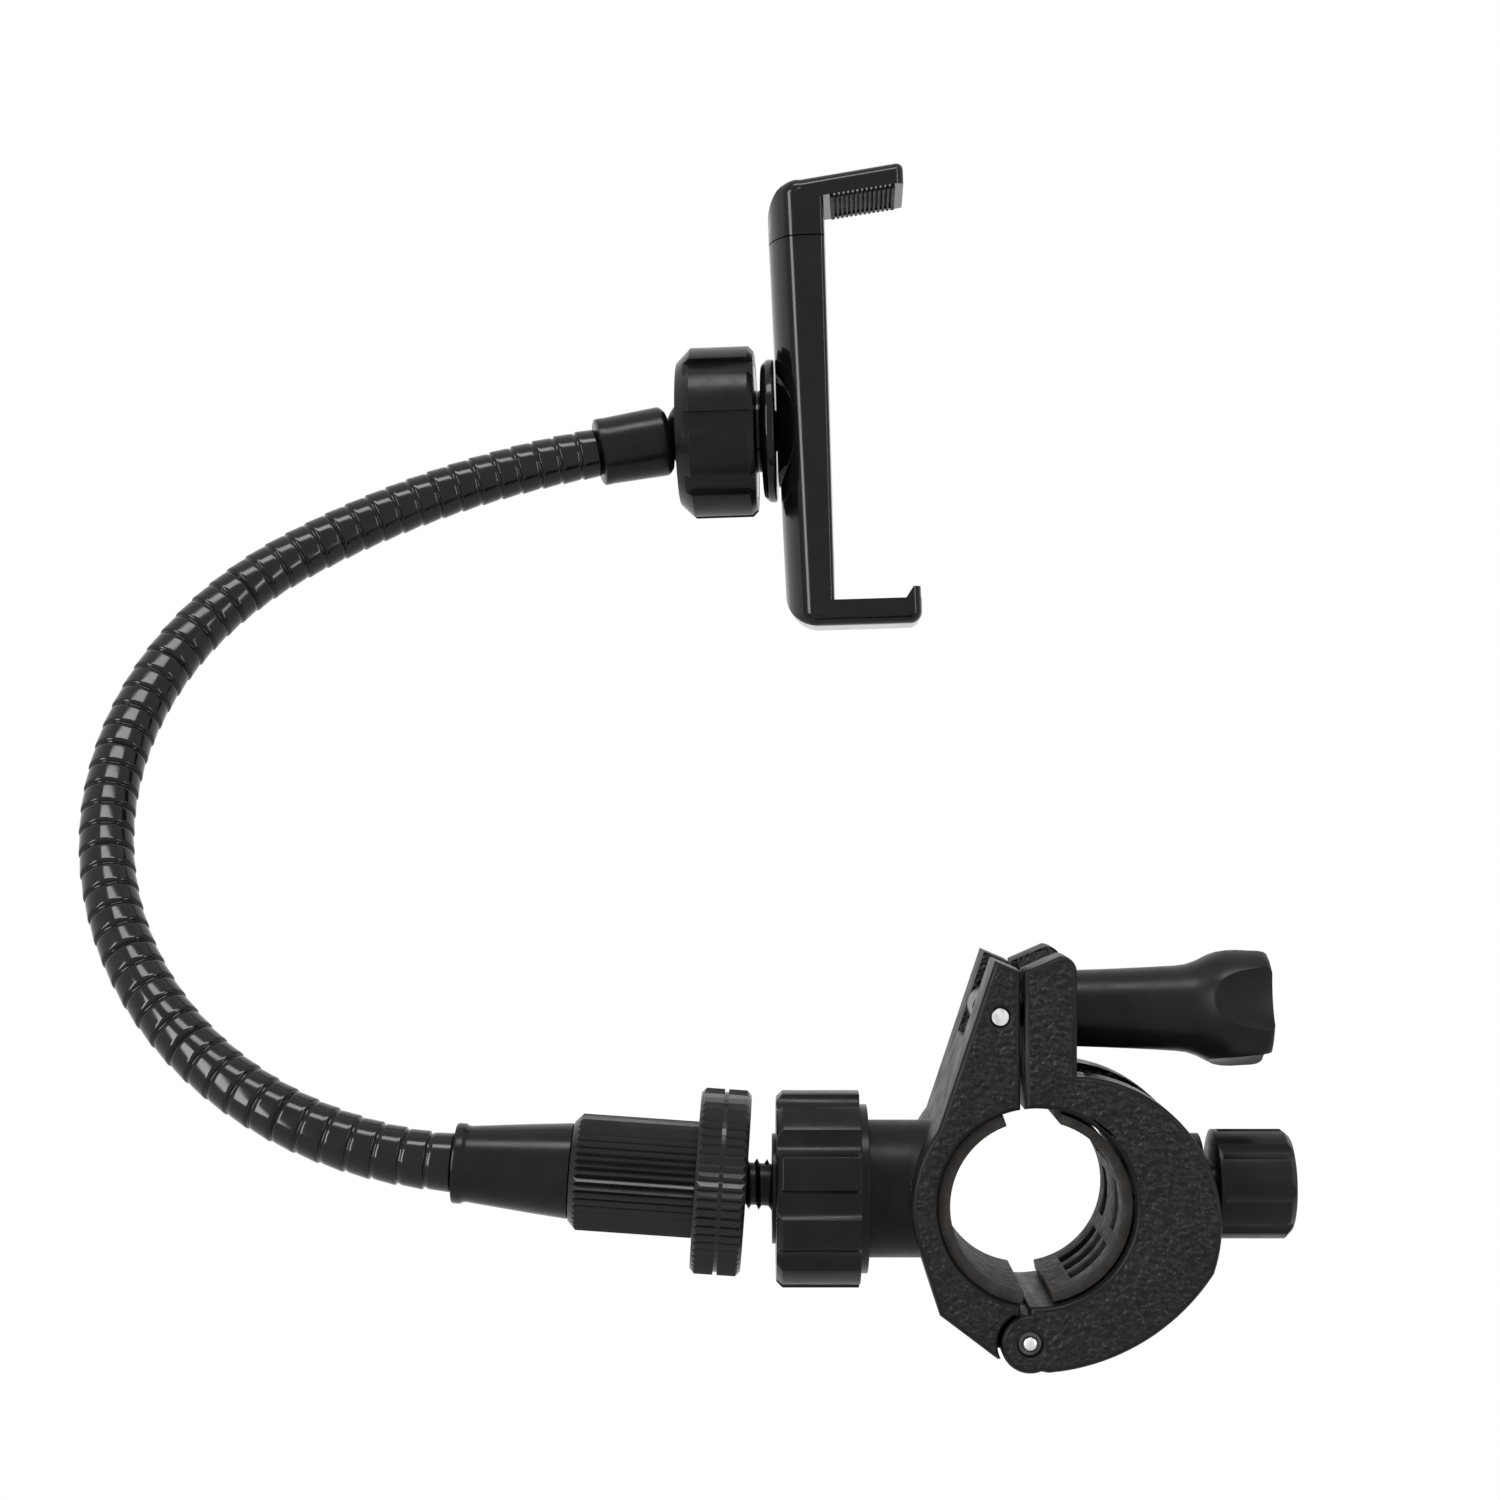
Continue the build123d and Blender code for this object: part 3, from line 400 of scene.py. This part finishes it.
def pebbles(material):
    """Rounded cells on the piece's own coordinates, pushed out of line by noise."""
    nodes = material.node_tree.nodes
    links = material.node_tree.links
    place = nodes.new("ShaderNodeTexCoord")
    stray = nodes.new("ShaderNodeTexNoise")
    stray.inputs["Scale"].default_value = STRAY_COUNT
    push = nodes.new("ShaderNodeVectorMath")
    push.operation = "MULTIPLY_ADD"
    push.inputs[1].default_value = (STRAY_REACH, STRAY_REACH, STRAY_REACH)
    cells = nodes.new("ShaderNodeTexVoronoi")
    cells.feature = "SMOOTH_F1"
    cells.inputs["Smoothness"].default_value = PEBBLE_SOFTNESS
    cells.inputs["Scale"].default_value = PEBBLES
    links.new(place.outputs["Object"], stray.inputs["Vector"])
    links.new(stray.outputs["Color"], push.inputs[0])
    links.new(place.outputs["Object"], push.inputs[2])
    links.new(push.outputs["Vector"], cells.inputs["Vector"])
    return cells.outputs["Distance"]


def emboss(material, source, depth, sunk=False):
    """Relief of a depth in metres, turned inwards where it is sunk."""
    bump = material.node_tree.nodes.new("ShaderNodeBump")
    bump.inputs["Distance"].default_value = depth
    bump.invert = sunk
    shader = material.node_tree.nodes["Principled BSDF"]
    material.node_tree.links.new(source, bump.inputs["Height"])
    material.node_tree.links.new(bump.outputs["Normal"], shader.inputs["Normal"])


def moulded_black(name, tone, low, high, specular=0.1):
    """Smooth black plastic with a slightly uneven gloss, its roughness between low and high."""
    material = new_material(name, specular=specular)
    spots = LIGHT_SPOTS * tone
    dark = (tone, tone, tone)
    light = (spots, spots, spots)
    shade_between(material, noise(material, scale=220, detail=3.0), dark, light)
    roughen(material, noise(material, scale=400, detail=3.0), low, high)
    emboss(material, noise(material, scale=650, detail=1.0), WAVINESS)
    return material


def grained_black():
    """Matte black plastic with a pebbled leather grain."""
    material = new_material("grained black", specular=0.16)
    dark = (0.004, 0.004, 0.004)
    light = (0.013, 0.013, 0.013)
    shade_between(material, noise(material, scale=1600, detail=2.0), dark, light)
    roughen(material, noise(material, scale=700, detail=2.0), low=0.34, high=0.5)
    emboss(material, pebbles(material), PEBBLE_DEPTH, sunk=True)
    return material


def bright_steel():
    """Polished steel of the two pins."""
    material = new_material("bright pin steel", metallic=1.0)
    dark = (0.55, 0.55, 0.54)
    light = (0.86, 0.86, 0.84)
    shade_between(material, noise(material, scale=900, detail=3.0), dark, light)
    roughen(material, noise(material, scale=1500, detail=2.0), low=0.2, high=0.4)
    return material


def plated_steel_and_painted_shade():
    """Dark steel of the bolt, the screws and the spring, also painted as shade in the rim round the hinge
    pin's dome.
    """
    material = new_material("dark plated steel and painted shade", metallic=1.0)
    dark = (0.05, 0.05, 0.052)
    light = (0.11, 0.11, 0.112)
    shade_between(material, noise(material, scale=500, detail=3.0), dark, light)
    roughen(material, noise(material, scale=1200, detail=2.0), low=0.28, high=0.45)
    return material


def liner_rubber():
    """Warm dark grey rubber of the clamp's liners."""
    material = new_material("liner rubber", specular=0.2)
    dark = (0.014, 0.0125, 0.011)
    light = (0.03, 0.027, 0.024)
    shade_between(material, noise(material, scale=500, detail=4.0), dark, light)
    roughen(material, noise(material, scale=900, detail=2.0), low=0.5, high=0.72)
    emboss(material, noise(material, scale=2500, detail=2.0), depth=0.03 * MM)
    return material


def seat_nylon():
    """Grey nylon of the cups behind the balls."""
    material = new_material("seat nylon")
    dark = (0.09, 0.09, 0.09)
    light = (0.14, 0.14, 0.14)
    shade_between(material, noise(material, scale=400, detail=3.0), dark, light)
    roughen(material, noise(material, scale=800, detail=2.0), low=0.48, high=0.65)
    return material


GRAIN = grained_black()
JAW_EDGE = moulded_black("jaw edge black", tone=0.006, low=0.3, high=0.45)
KNOB_BLACK = moulded_black("knob black", tone=0.005, low=0.26, high=0.38, specular=0.14)
NUT_BLACK = moulded_black("nut black", tone=0.004, low=0.2, high=0.3, specular=0.14)
POST_BLACK = moulded_black("post black", tone=0.006, low=0.3, high=0.42)
KNURL_BLACK = moulded_black("knurl black", tone=0.004, low=0.2, high=0.3, specular=0.28)
NECK_BLACK = moulded_black("neck black", tone=0.003, low=0.1, high=0.18, specular=0.26)
SLEEVE_BLACK = moulded_black("sleeve black", tone=0.004, low=0.18, high=0.28, specular=0.16)
CLIP_BLACK = moulded_black("clip black", tone=0.003, low=0.1, high=0.16, specular=0.2)
THREAD_BLACK = moulded_black("thread black", tone=0.005, low=0.28, high=0.4, specular=0.15)
PAD_BLACK = moulded_black("pad black", tone=0.008, low=0.45, high=0.6)
PIN_STEEL = bright_steel()
DARK_STEEL_AND_PAINTED_SHADE = plated_steel_and_painted_shade()
LINER_GREY = liner_rubber()
SEAT_GREY = seat_nylon()


def joint_place(name):
    return Vector(joints[name]["pos_m"])


def joint_axis(name):
    return Vector(joints[name]["axis"])


ball_centre = joint_place("ball_yaw")
arm_out = -joint_axis("arm_turn")
neck_normal = joint_axis("neck_bend_01")
clip_centre = joint_place("clip_roll")
clip_out = joint_axis("clip_roll")
clip_up = joint_axis("clip_yaw")
clip_side = clip_up.cross(clip_out).normalized()
segment = RIBS_PER_SEGMENT * RIB_PITCH
segments = LOWER_SEGMENTS + UPPER_SEGMENTS


def bend_radius(index):
    """How wide the neck bends in one of its segments, counted from zero."""
    return LOWER_BEND_R if index < LOWER_SEGMENTS else UPPER_BEND_R


def arc_point(place, heading, bend, turn):
    """Point on the neck's middle, a turn further round a bend than a place."""
    inward = neck_normal.cross(heading)
    return place + heading * (bend * sin(turn)) + inward * (bend * (1 - cos(turn)))


def neck_stations():
    """Place and direction of the neck at the start of each segment and at its end."""
    place = ball_centre + arm_out * NECK_START
    heading = arm_out.copy()
    found = [(place.copy(), heading.copy())]
    for index in range(segments):
        bend = bend_radius(index)
        turn = segment / bend
        place = arc_point(place, heading, bend, turn)
        heading = Matrix.Rotation(turn, 3, neck_normal) @ heading
        found.append((place.copy(), heading.copy()))
    return found


stations = neck_stations()


def neck_line():
    """Curve down the middle of the neck, one arc for each segment."""
    data = bpy.data.curves.new("neck_line", "CURVE")
    data.dimensions = "3D"
    data.resolution_u = CURVE_STEPS
    spline = data.splines.new("BEZIER")
    spline.bezier_points.add(segments)
    for index, (place, heading) in enumerate(stations):
        point = spline.bezier_points[index]
        bend = bend_radius(index - 1)
        # A handle of this reach makes an arc
        reach = 4 / 3 * tan(segment / bend / 4) * bend
        point.handle_left_type = "FREE"
        point.handle_right_type = "FREE"
        point.co = place
        point.handle_left = place - heading * reach
        point.handle_right = place + heading * reach
    line = bpy.data.objects.new("neck_line", data)
    bpy.context.scene.collection.objects.link(line)
    return line


def neck_bands(name, first, count, line):
    """A run of the neck's bands, turned straight and then laid along the neck."""
    profile = []
    for rib in range(first, first + count):
        start = rib * RIB_PITCH / MM
        profile += [(start + step, radius) for step, radius in BAND]
    profile.append(((first + count) * RIB_PITCH / MM, BAND[0][1]))
    piece = lathe(name, profile, along((0, 0, 0), (1, 0, 0)), sides=BAND_SIDES)
    lay = piece.modifiers.new("lay", "CURVE")
    lay.object = line
    lay.deform_axis = "POS_X"
    apply_modifiers(piece)
    smooth(piece, angle=40)
    return piece


def neck():
    """Skin of the neck, in runs of bands that each reach across one joint, and rigid bands at its ends."""
    line = neck_line()
    bodies = ["arm_base"] + [f"neck_{i:02d}" for i in range(2, segments)] + ["arm_tip"]
    foot = neck_bands("neck_bands_00", 0, SPLIT_RIBS, line)
    dress(foot, bodies[0], "neck_black", NECK_BLACK)
    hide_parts("neck_segment_01")
    for index in range(1, segments):
        first = (index - 1) * RIBS_PER_SEGMENT + SPLIT_RIBS
        run = neck_bands(f"neck_bands_{index:02d}", first, RIBS_PER_SEGMENT, line)
        run.data.materials.append(NECK_BLACK)
        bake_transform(run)
        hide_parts(f"neck_segment_{index + 1:02d}")
    last = (segments - 1) * RIBS_PER_SEGMENT + SPLIT_RIBS
    top = neck_bands(f"neck_bands_{segments:02d}", last, RIBS_PER_SEGMENT - SPLIT_RIBS, line)
    dress(top, bodies[-1], "neck_black", NECK_BLACK)
    bpy.data.objects.remove(line)


def screw_thread(name):
    """Ridge of the camera thread, one triangle wound round the stud."""
    deselect()
    crest = THREAD_PITCH / 2
    bpy.ops.mesh.primitive_circle_add(vertices=3, radius=crest * MM, rotation=(pi / 2, 0, 0))
    ridge = bpy.context.object
    ridge.name = name
    ridge.data.name = name
    bpy.ops.object.transform_apply(location=True, rotation=True, scale=True)
    bpy.ops.object.mode_set(mode="EDIT")
    bpy.ops.mesh.select_all(action="SELECT")
    # The crest turns from upwards to outwards
    bpy.ops.transform.rotate(value=-pi / 2, orient_axis="Y", center_override=(0, 0, 0))
    bpy.ops.transform.translate(value=((THREAD_R - crest) * MM, 0, THREAD_START * MM))
    bpy.ops.object.mode_set(mode="OBJECT")
    wind = ridge.modifiers.new("wind", "SCREW")
    wind.axis = "Z"
    wind.screw_offset = THREAD_PITCH * MM
    wind.iterations = THREAD_TURNS
    wind.steps = THREAD_STEPS
    wind.render_steps = THREAD_STEPS
    apply_modifiers(ridge)
    return ridge


def ball_stud():
    """Ball and bare thread below the lock ring."""
    profile = []
    for turn in BALL_TURNS:
        profile.append((BALL_R * -cos(radians(turn)), BALL_R * sin(radians(turn))))
    profile += [(STUD_NECK, THREAD_CORE_R), (STUD_END, THREAD_CORE_R)]
    stud = lathe("threaded_ball_stud", profile, None)
    ridge = screw_thread("stud_ridge")
    pick(stud)
    ridge.select_set(True)
    bpy.ops.object.join()
    smooth(stud, angle=40)
    settle(stud, along(ball_centre, arm_out))
    dress(stud, "stud", "black_steel", THREAD_BLACK)
    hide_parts("ball_stud")


def thumb_knob():
    """Tapered knob, turned and then scooped round its head."""
    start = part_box("thumb_knob")[0][0]
    axis = joint_place("thumb_knob_turn")
    base = along((start, axis.y, axis.z), (1, 0, 0))
    knob = lathe("scooped_thumb_knob", KNOB_PROFILE, base, sides=KNOB_SIDES)
    outwards = (SCOOP_R + SCOOP_FLOOR) * MM
    upwards = (SCOOP_LENGTH / 2 + SCOOP_START) * MM
    aside = Matrix.Translation((outwards, 0, upwards))
    tilt = Matrix.Rotation(radians(SCOOP_TILT), 4, "Y")
    for index in range(SCOOPS):
        deselect()
        bpy.ops.mesh.primitive_cylinder_add(
            vertices=SCOOP_SIDES, radius=SCOOP_R * MM, depth=SCOOP_LENGTH * MM,
        )
        scoop = bpy.context.object
        round_axis = Matrix.Rotation(radians(SCOOP_TURN + index * 360 / SCOOPS), 4, "Z")
        settle(scoop, base @ round_axis @ aside @ tilt)
        cut(knob, scoop)
    round_edges(knob, KNOB_ROUND, steps=3, angle=24)
    dress(knob, "thumb_knob", "knob_black", KNOB_BLACK)
    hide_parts("thumb_knob")


def mark_front(piece, place, distance, radius, half_width, half_length):
    """Shallow moulded mark on the side of a sleeve that faces -Y, in mm."""
    front = Vector((0, -1, 0))
    heading = (place.to_3x3() @ Vector((0, 0, 1))).normalized()
    outward = (front - heading * heading.dot(front)).normalized()
    centre = place @ Vector((0, 0, distance * MM)) + outward * (radius * MM)
    deselect()
    bpy.ops.mesh.primitive_uv_sphere_add(segments=48, ring_count=24, radius=MM)
    mark = bpy.context.object
    across = heading.cross(outward)
    turn = Matrix((across, outward, heading)).transposed().to_4x4()
    scale = Matrix.Diagonal((half_width, MARK_DEPTH, half_length, 1))
    settle(mark, Matrix.Translation(centre) @ turn @ scale)
    cut(piece, mark)


def sleeve(name, profile, place, mark):
    """Turned sleeve with its pressed mark."""
    piece = lathe(name, profile, place, sides=SLEEVE_SIDES)
    mark_front(piece, place, *mark)
    smooth(piece, angle=30)
    return piece


def sleeves():
    """Ferrule below the neck and boot above it."""
    foot = along(ball_centre + arm_out * (FERRULE_START * MM), arm_out)
    ferrule = sleeve("tapered_ferrule", FERRULE_PROFILE, foot, FERRULE_MARK)
    dress(ferrule, "arm_base", "ferrule_black", SLEEVE_BLACK)
    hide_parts("lower_ferrule")
    tip, heading = stations[-1]
    boot = sleeve("neck_boot", BOOT_PROFILE, along(tip, heading), BOOT_MARK)
    dress(boot, "arm_tip", "ferrule_black", SLEEVE_BLACK)
    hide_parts("upper_boot")


def pin(name, middle, reach, end, angle):
    """Turned pin along the bar, from its middle as far as reach in mm, with the same end to both sides."""
    half = [(reach + step, radius) for step, radius in end]
    profile = [(-height, radius) for height, radius in reversed(half)] + half
    piece = lathe(name, profile, along(middle, (0, 1, 0), side=(1, 0, 0)), sides=PIN_SIDES)
    smooth(piece, angle)
    return piece


def pins():
    """Bright pins of the hinge and of the swing bolt, the hinge's with dark steel painted round its dome
    as shade.
    """
    low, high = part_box("hinge_pin")
    middle = (Vector(low) + Vector(high)) / 2
    reach = (high[1] - low[1]) / 2 / MM
    hinge = pin("domed_hinge_pin", middle, reach, HINGE_END, angle=50)
    dress(hinge, "clamp", "bright_pin", PIN_STEEL, DARK_STEEL_AND_PAINTED_SHADE)
    # Faces outside the dome's radius take the dark steel: painted shade of the hollow round the dome, on a
    # pin of one steel
    for face in hinge.data.polygons:
        off_axis = Vector((face.center.x - middle.x, face.center.z - middle.z)).length
        face.material_index = 1 if off_axis > DOME_R * MM else 0
    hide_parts("hinge_pin")
    low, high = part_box("bolt_pivot_pin")
    middle = (Vector(low) + Vector(high)) / 2
    reach = (high[1] - low[1]) / 2 / MM
    pivot = pin("bolt_pivot", middle, reach, PIVOT_END, angle=40)
    dress(pivot, "clamp", "bright_pin", PIN_STEEL)
    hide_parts("bolt_pivot_pin")


def grain_sides(piece):
    """Second finish on the faces that look along the bar."""
    for face in piece.data.polygons:
        face.material_index = 1 if abs(face.normal.y) > SQUARELY else 0


def clamp_jaws():
    """Jaws with soft edges and pebbled sides, and their liners."""
    for node, body in (("fixed_jaw", "clamp"), ("swing_jaw", "swing_jaw")):
        jaw = copied(node)
        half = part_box(node)[1][1] - CLOSE * MM
        round_sides(jaw, half)
        round_edges(jaw, JAW_ROUND)
        merge_spots(jaw)
        dress(jaw, body, "grained_black", JAW_EDGE, GRAIN)
        grain_sides(jaw)
    for node, body in (("left_liner", "clamp"), ("right_liner", "pad")):
        liner = copied(node)
        round_edges(liner, LINER_ROUND)
        dress(liner, body, "liner_grey", LINER_GREY)


def fluted_grips():
    """Side knob and the two lock nuts."""
    for node, body, material in (
        ("side_knob", "side_knob", KNOB_BLACK),
        ("ball_lock_nut", "ball_lock_nut", NUT_BLACK),
        ("top_nut", "top_nut", NUT_BLACK),
    ):
        grip = copied(node)
        round_edges(grip, GRIP_ROUND, steps=3)
        dress(grip, body, "knob_black", material)


def arm_offset(depth):
    """How far the block stands out from the clip's arms and tips, at a depth below its side, in mm."""
    if depth > ARM_ROUND:
        return depth - ARM_ROUND
    return (ARM_ROUND ** 2 - (ARM_ROUND - depth) ** 2) ** 0.5 - ARM_ROUND


def back_offset(depth):
    """The same for the back, which meets the side at a slant."""
    foot = -BACK_ROUND * tan(BACK_TURN / 2)
    reach = BACK_ROUND * (1 - cos(BACK_TURN))
    if depth < reach:
        return foot + (BACK_ROUND ** 2 - (BACK_ROUND - depth) ** 2) ** 0.5
    return foot + BACK_ROUND * sin(BACK_TURN) + (depth - reach) / tan(BACK_TURN)


def clip_outline(depth):
    """Outline of the soft-edged block at a depth below the clip's side, in mm."""
    count = len(CLIP_CORNERS)
    places = [Vector(corner[:2]) for corner in CLIP_CORNERS]
    offsets = [back_offset(depth)] + [arm_offset(depth)] * (count - 1)
    edges = [places[(index + 1) % count] - places[index] for index in range(count)]
    normals = [Vector((edge.y, -edge.x)).normalized() for edge in edges]
    outline = []
    for index, (_, _, roundness) in enumerate(CLIP_CORNERS):
        before, after = normals[index - 1], normals[index]
        diagonal = (before + after) / (1 + before.dot(after))
        centre = places[index] - diagonal * roundness
        turn = before.angle(after)
        for step in range(CORNER_STEPS + 1):
            share = step / CORNER_STEPS
            direction = Matrix.Rotation(turn * share, 2) @ before
            offset = offsets[index - 1] * (1 - share) + offsets[index] * share
            reach = roundness + offset
            outline.append(centre + (direction if reach > 0 else diagonal) * reach)
    return outline


def soft_block():
    """Block with soft side edges, which the clip's pieces are met with."""
    depths = [ARM_ROUND * (1 - cos(radians(turn))) for turn in range(0, 90, SOFT_STEP)]
    depths.append(ARM_ROUND)
    levels = [(-CLIP_HALF - CLOSE, 0)]
    levels += [(depth - CLIP_HALF, depth) for depth in depths]
    mirrored = [(-side, depth) for side, depth in reversed(levels)]
    levels += [(0, CLIP_HALF)] + mirrored
    mesh = bmesh.new()
    rings = []
    for side, depth in levels:
        ring = []
        for point in clip_outline(depth):
            place = clip_out * point.x + clip_side * side + clip_up * point.y
            ring.append(mesh.verts.new(clip_centre + place * MM))
        rings.append(ring)
    for ring, following in zip(rings, rings[1:]):
        for index in range(len(ring)):
            mesh.faces.new((ring[index - 1], ring[index], following[index], following[index - 1]))
    mesh.faces.new(rings[0])
    mesh.faces.new(rings[-1])
    bmesh.ops.recalc_face_normals(mesh, faces=mesh.faces)
    data = bpy.data.meshes.new("soft_block")
    mesh.to_mesh(data)
    mesh.free()
    block = bpy.data.objects.new("soft_block", data)
    bpy.context.scene.collection.objects.link(block)
    return block


def phone_clip():
    """Both halves of the clip, and the disc behind it."""
    for node, body in (("clip_body", "clip"), ("slide_jaw", "slide_jaw")):
        shell = copied(node)
        round_edges(shell, CLIP_ROUND)
        cut(shell, soft_block(), "INTERSECT")
        smooth(shell)
        keep_flat(shell)
        dress(shell, body, "clip_black", CLIP_BLACK)
    socket = copied("clip_socket")
    round_edges(socket, SOCKET_ROUND, steps=3)
    dress(socket, "clip_socket", "clip_black", CLIP_BLACK)


def paint_solids():
    """Finishes of the solids that stay as they are."""
    for node, material in (
        ("socket_post", POST_BLACK), ("lock_ring", KNURL_BLACK), ("knurled_barrel", KNURL_BLACK),
        ("jaw_pad", PAD_BLACK), ("clip_cover", CLIP_BLACK), ("swing_bolt", DARK_STEEL_AND_PAINTED_SHADE),
        ("knob_washer", DARK_STEEL_AND_PAINTED_SHADE), ("side_screw", DARK_STEEL_AND_PAINTED_SHADE), ("post_screw", DARK_STEEL_AND_PAINTED_SHADE),
        ("clip_ball", POST_BLACK), ("clip_spring", DARK_STEEL_AND_PAINTED_SHADE), ("cover_screws", DARK_STEEL_AND_PAINTED_SHADE),
        ("ball_seat", SEAT_GREY), ("clip_ball_seat", SEAT_GREY),
    ):
        mesh = frame["nodes"][node].data
        mesh.materials.clear()
        mesh.materials.append(material)


def seen_rays(tree):
    """One for a ray from the camera, or mirrored or let through on its way from there, and else zero."""
    path = tree.nodes.new("ShaderNodeLightPath")
    total = path.outputs["Is Camera Ray"]
    for ray in ("Is Glossy Ray", "Is Transmission Ray"):
        add = tree.nodes.new("ShaderNodeMath")
        add.operation = "ADD"
        add.use_clamp = True
        tree.links.new(total, add.inputs[0])
        tree.links.new(path.outputs[ray], add.inputs[1])
        total = add.outputs[0]
    return total


def floor():
    """Pale floor that fades to white away from the holder and keeps its shadow below it."""
    deselect()
    bpy.ops.mesh.primitive_plane_add(size=FLOOR_SIDE, location=(0, 0, FLOOR_HEIGHT))
    plane = bpy.context.object
    plane.name = "floor"
    material = bpy.data.materials.new("pale floor")
    material.use_nodes = True
    tree = material.node_tree
    shader = tree.nodes["Principled BSDF"]
    shader.inputs["Base Color"].default_value = (FLOOR_PALE, FLOOR_PALE, FLOOR_PALE, 1)
    shader.inputs["Roughness"].default_value = FLOOR_ROUGHNESS
    white = tree.nodes.new("ShaderNodeEmission")
    white.inputs["Color"].default_value = (1, 1, 1, 1)
    place = tree.nodes.new("ShaderNodeTexCoord")
    distance = tree.nodes.new("ShaderNodeVectorMath")
    distance.operation = "LENGTH"
    fade = tree.nodes.new("ShaderNodeMapRange")
    fade.inputs["From Min"].default_value = SHADOW_NEAR
    fade.inputs["From Max"].default_value = SHADOW_FAR
    fade.inputs["To Min"].default_value = FLOOR_WHITE
    fade.inputs["To Max"].default_value = 1.0
    seen = tree.nodes.new("ShaderNodeMath")
    seen.operation = "MULTIPLY"
    mix = tree.nodes.new("ShaderNodeMixShader")
    tree.links.new(place.outputs["Object"], distance.inputs[0])
    tree.links.new(distance.outputs["Value"], fade.inputs["Value"])
    tree.links.new(fade.outputs["Result"], seen.inputs[0])
    tree.links.new(seen_rays(tree), seen.inputs[1])
    tree.links.new(seen.outputs[0], mix.inputs["Fac"])
    tree.links.new(shader.outputs["BSDF"], mix.inputs[1])
    tree.links.new(white.outputs["Emission"], mix.inputs[2])
    tree.links.new(mix.outputs["Shader"], tree.nodes["Material Output"].inputs["Surface"])
    plane.data.materials.append(material)


def studio():
    """White surroundings for the camera and for reflections, and a dimmer room as light."""
    world = bpy.data.worlds.new("studio")
    bpy.context.scene.world = world
    world.use_nodes = True
    tree = world.node_tree
    room = tree.nodes["Background"]
    room.inputs["Color"].default_value = (1, 1, 1, 1)
    room.inputs["Strength"].default_value = ROOM_LIGHT
    white = tree.nodes.new("ShaderNodeBackground")
    white.inputs["Color"].default_value = (1, 1, 1, 1)
    white.inputs["Strength"].default_value = 1.0
    mix = tree.nodes.new("ShaderNodeMixShader")
    tree.links.new(seen_rays(tree), mix.inputs["Fac"])
    tree.links.new(room.outputs["Background"], mix.inputs[1])
    tree.links.new(white.outputs["Background"], mix.inputs[2])
    tree.links.new(mix.outputs["Shader"], tree.nodes["World Output"].inputs["Surface"])


def softbox(name, place, size, power):
    """Flat lamp that looks at the holder's middle, its size in metres and its power in watts."""
    deselect()
    bpy.ops.object.light_add(type="AREA", location=place)
    lamp = bpy.context.object
    lamp.name = name
    lamp.data.shape = "RECTANGLE"
    lamp.data.size, lamp.data.size_y = size
    lamp.data.energy = power
    aim = Vector(LIT_MIDDLE) - Vector(place)
    lamp.rotation_euler = aim.to_track_quat("-Z", "Y").to_euler()


def lights_and_camera():
    """Three softboxes, and the camera at the photograph's place."""
    softbox("left softbox", place=(-0.65, -0.45, 0.22), size=(0.2, 0.6), power=5.5)
    softbox("right softbox", place=(0.55, -0.3, 0.15), size=(0.06, 0.5), power=1.5)
    softbox("top softbox", place=(-0.05, -0.22, 0.75), size=(0.6, 0.18), power=4.0)
    camera_data = bpy.data.cameras.new("photo camera")
    camera_data.sensor_width = SENSOR
    camera_data.lens = FOCAL_PIXELS / PICTURE_SIDE * SENSOR
    camera_data.clip_start = NEAREST_SEEN
    camera = bpy.data.objects.new("photo camera", camera_data)
    bpy.context.scene.collection.objects.link(camera)
    camera.location = CAMERA_PLACE
    camera.rotation_euler = (pi / 2, 0, 0)
    bpy.context.scene.camera = camera
    bpy.context.scene.view_settings.view_transform = "Standard"


neck()
ball_stud()
thumb_knob()
sleeves()
pins()
clamp_jaws()
fluted_grips()
phone_clip()
paint_solids()
floor()
studio()
lights_and_camera()
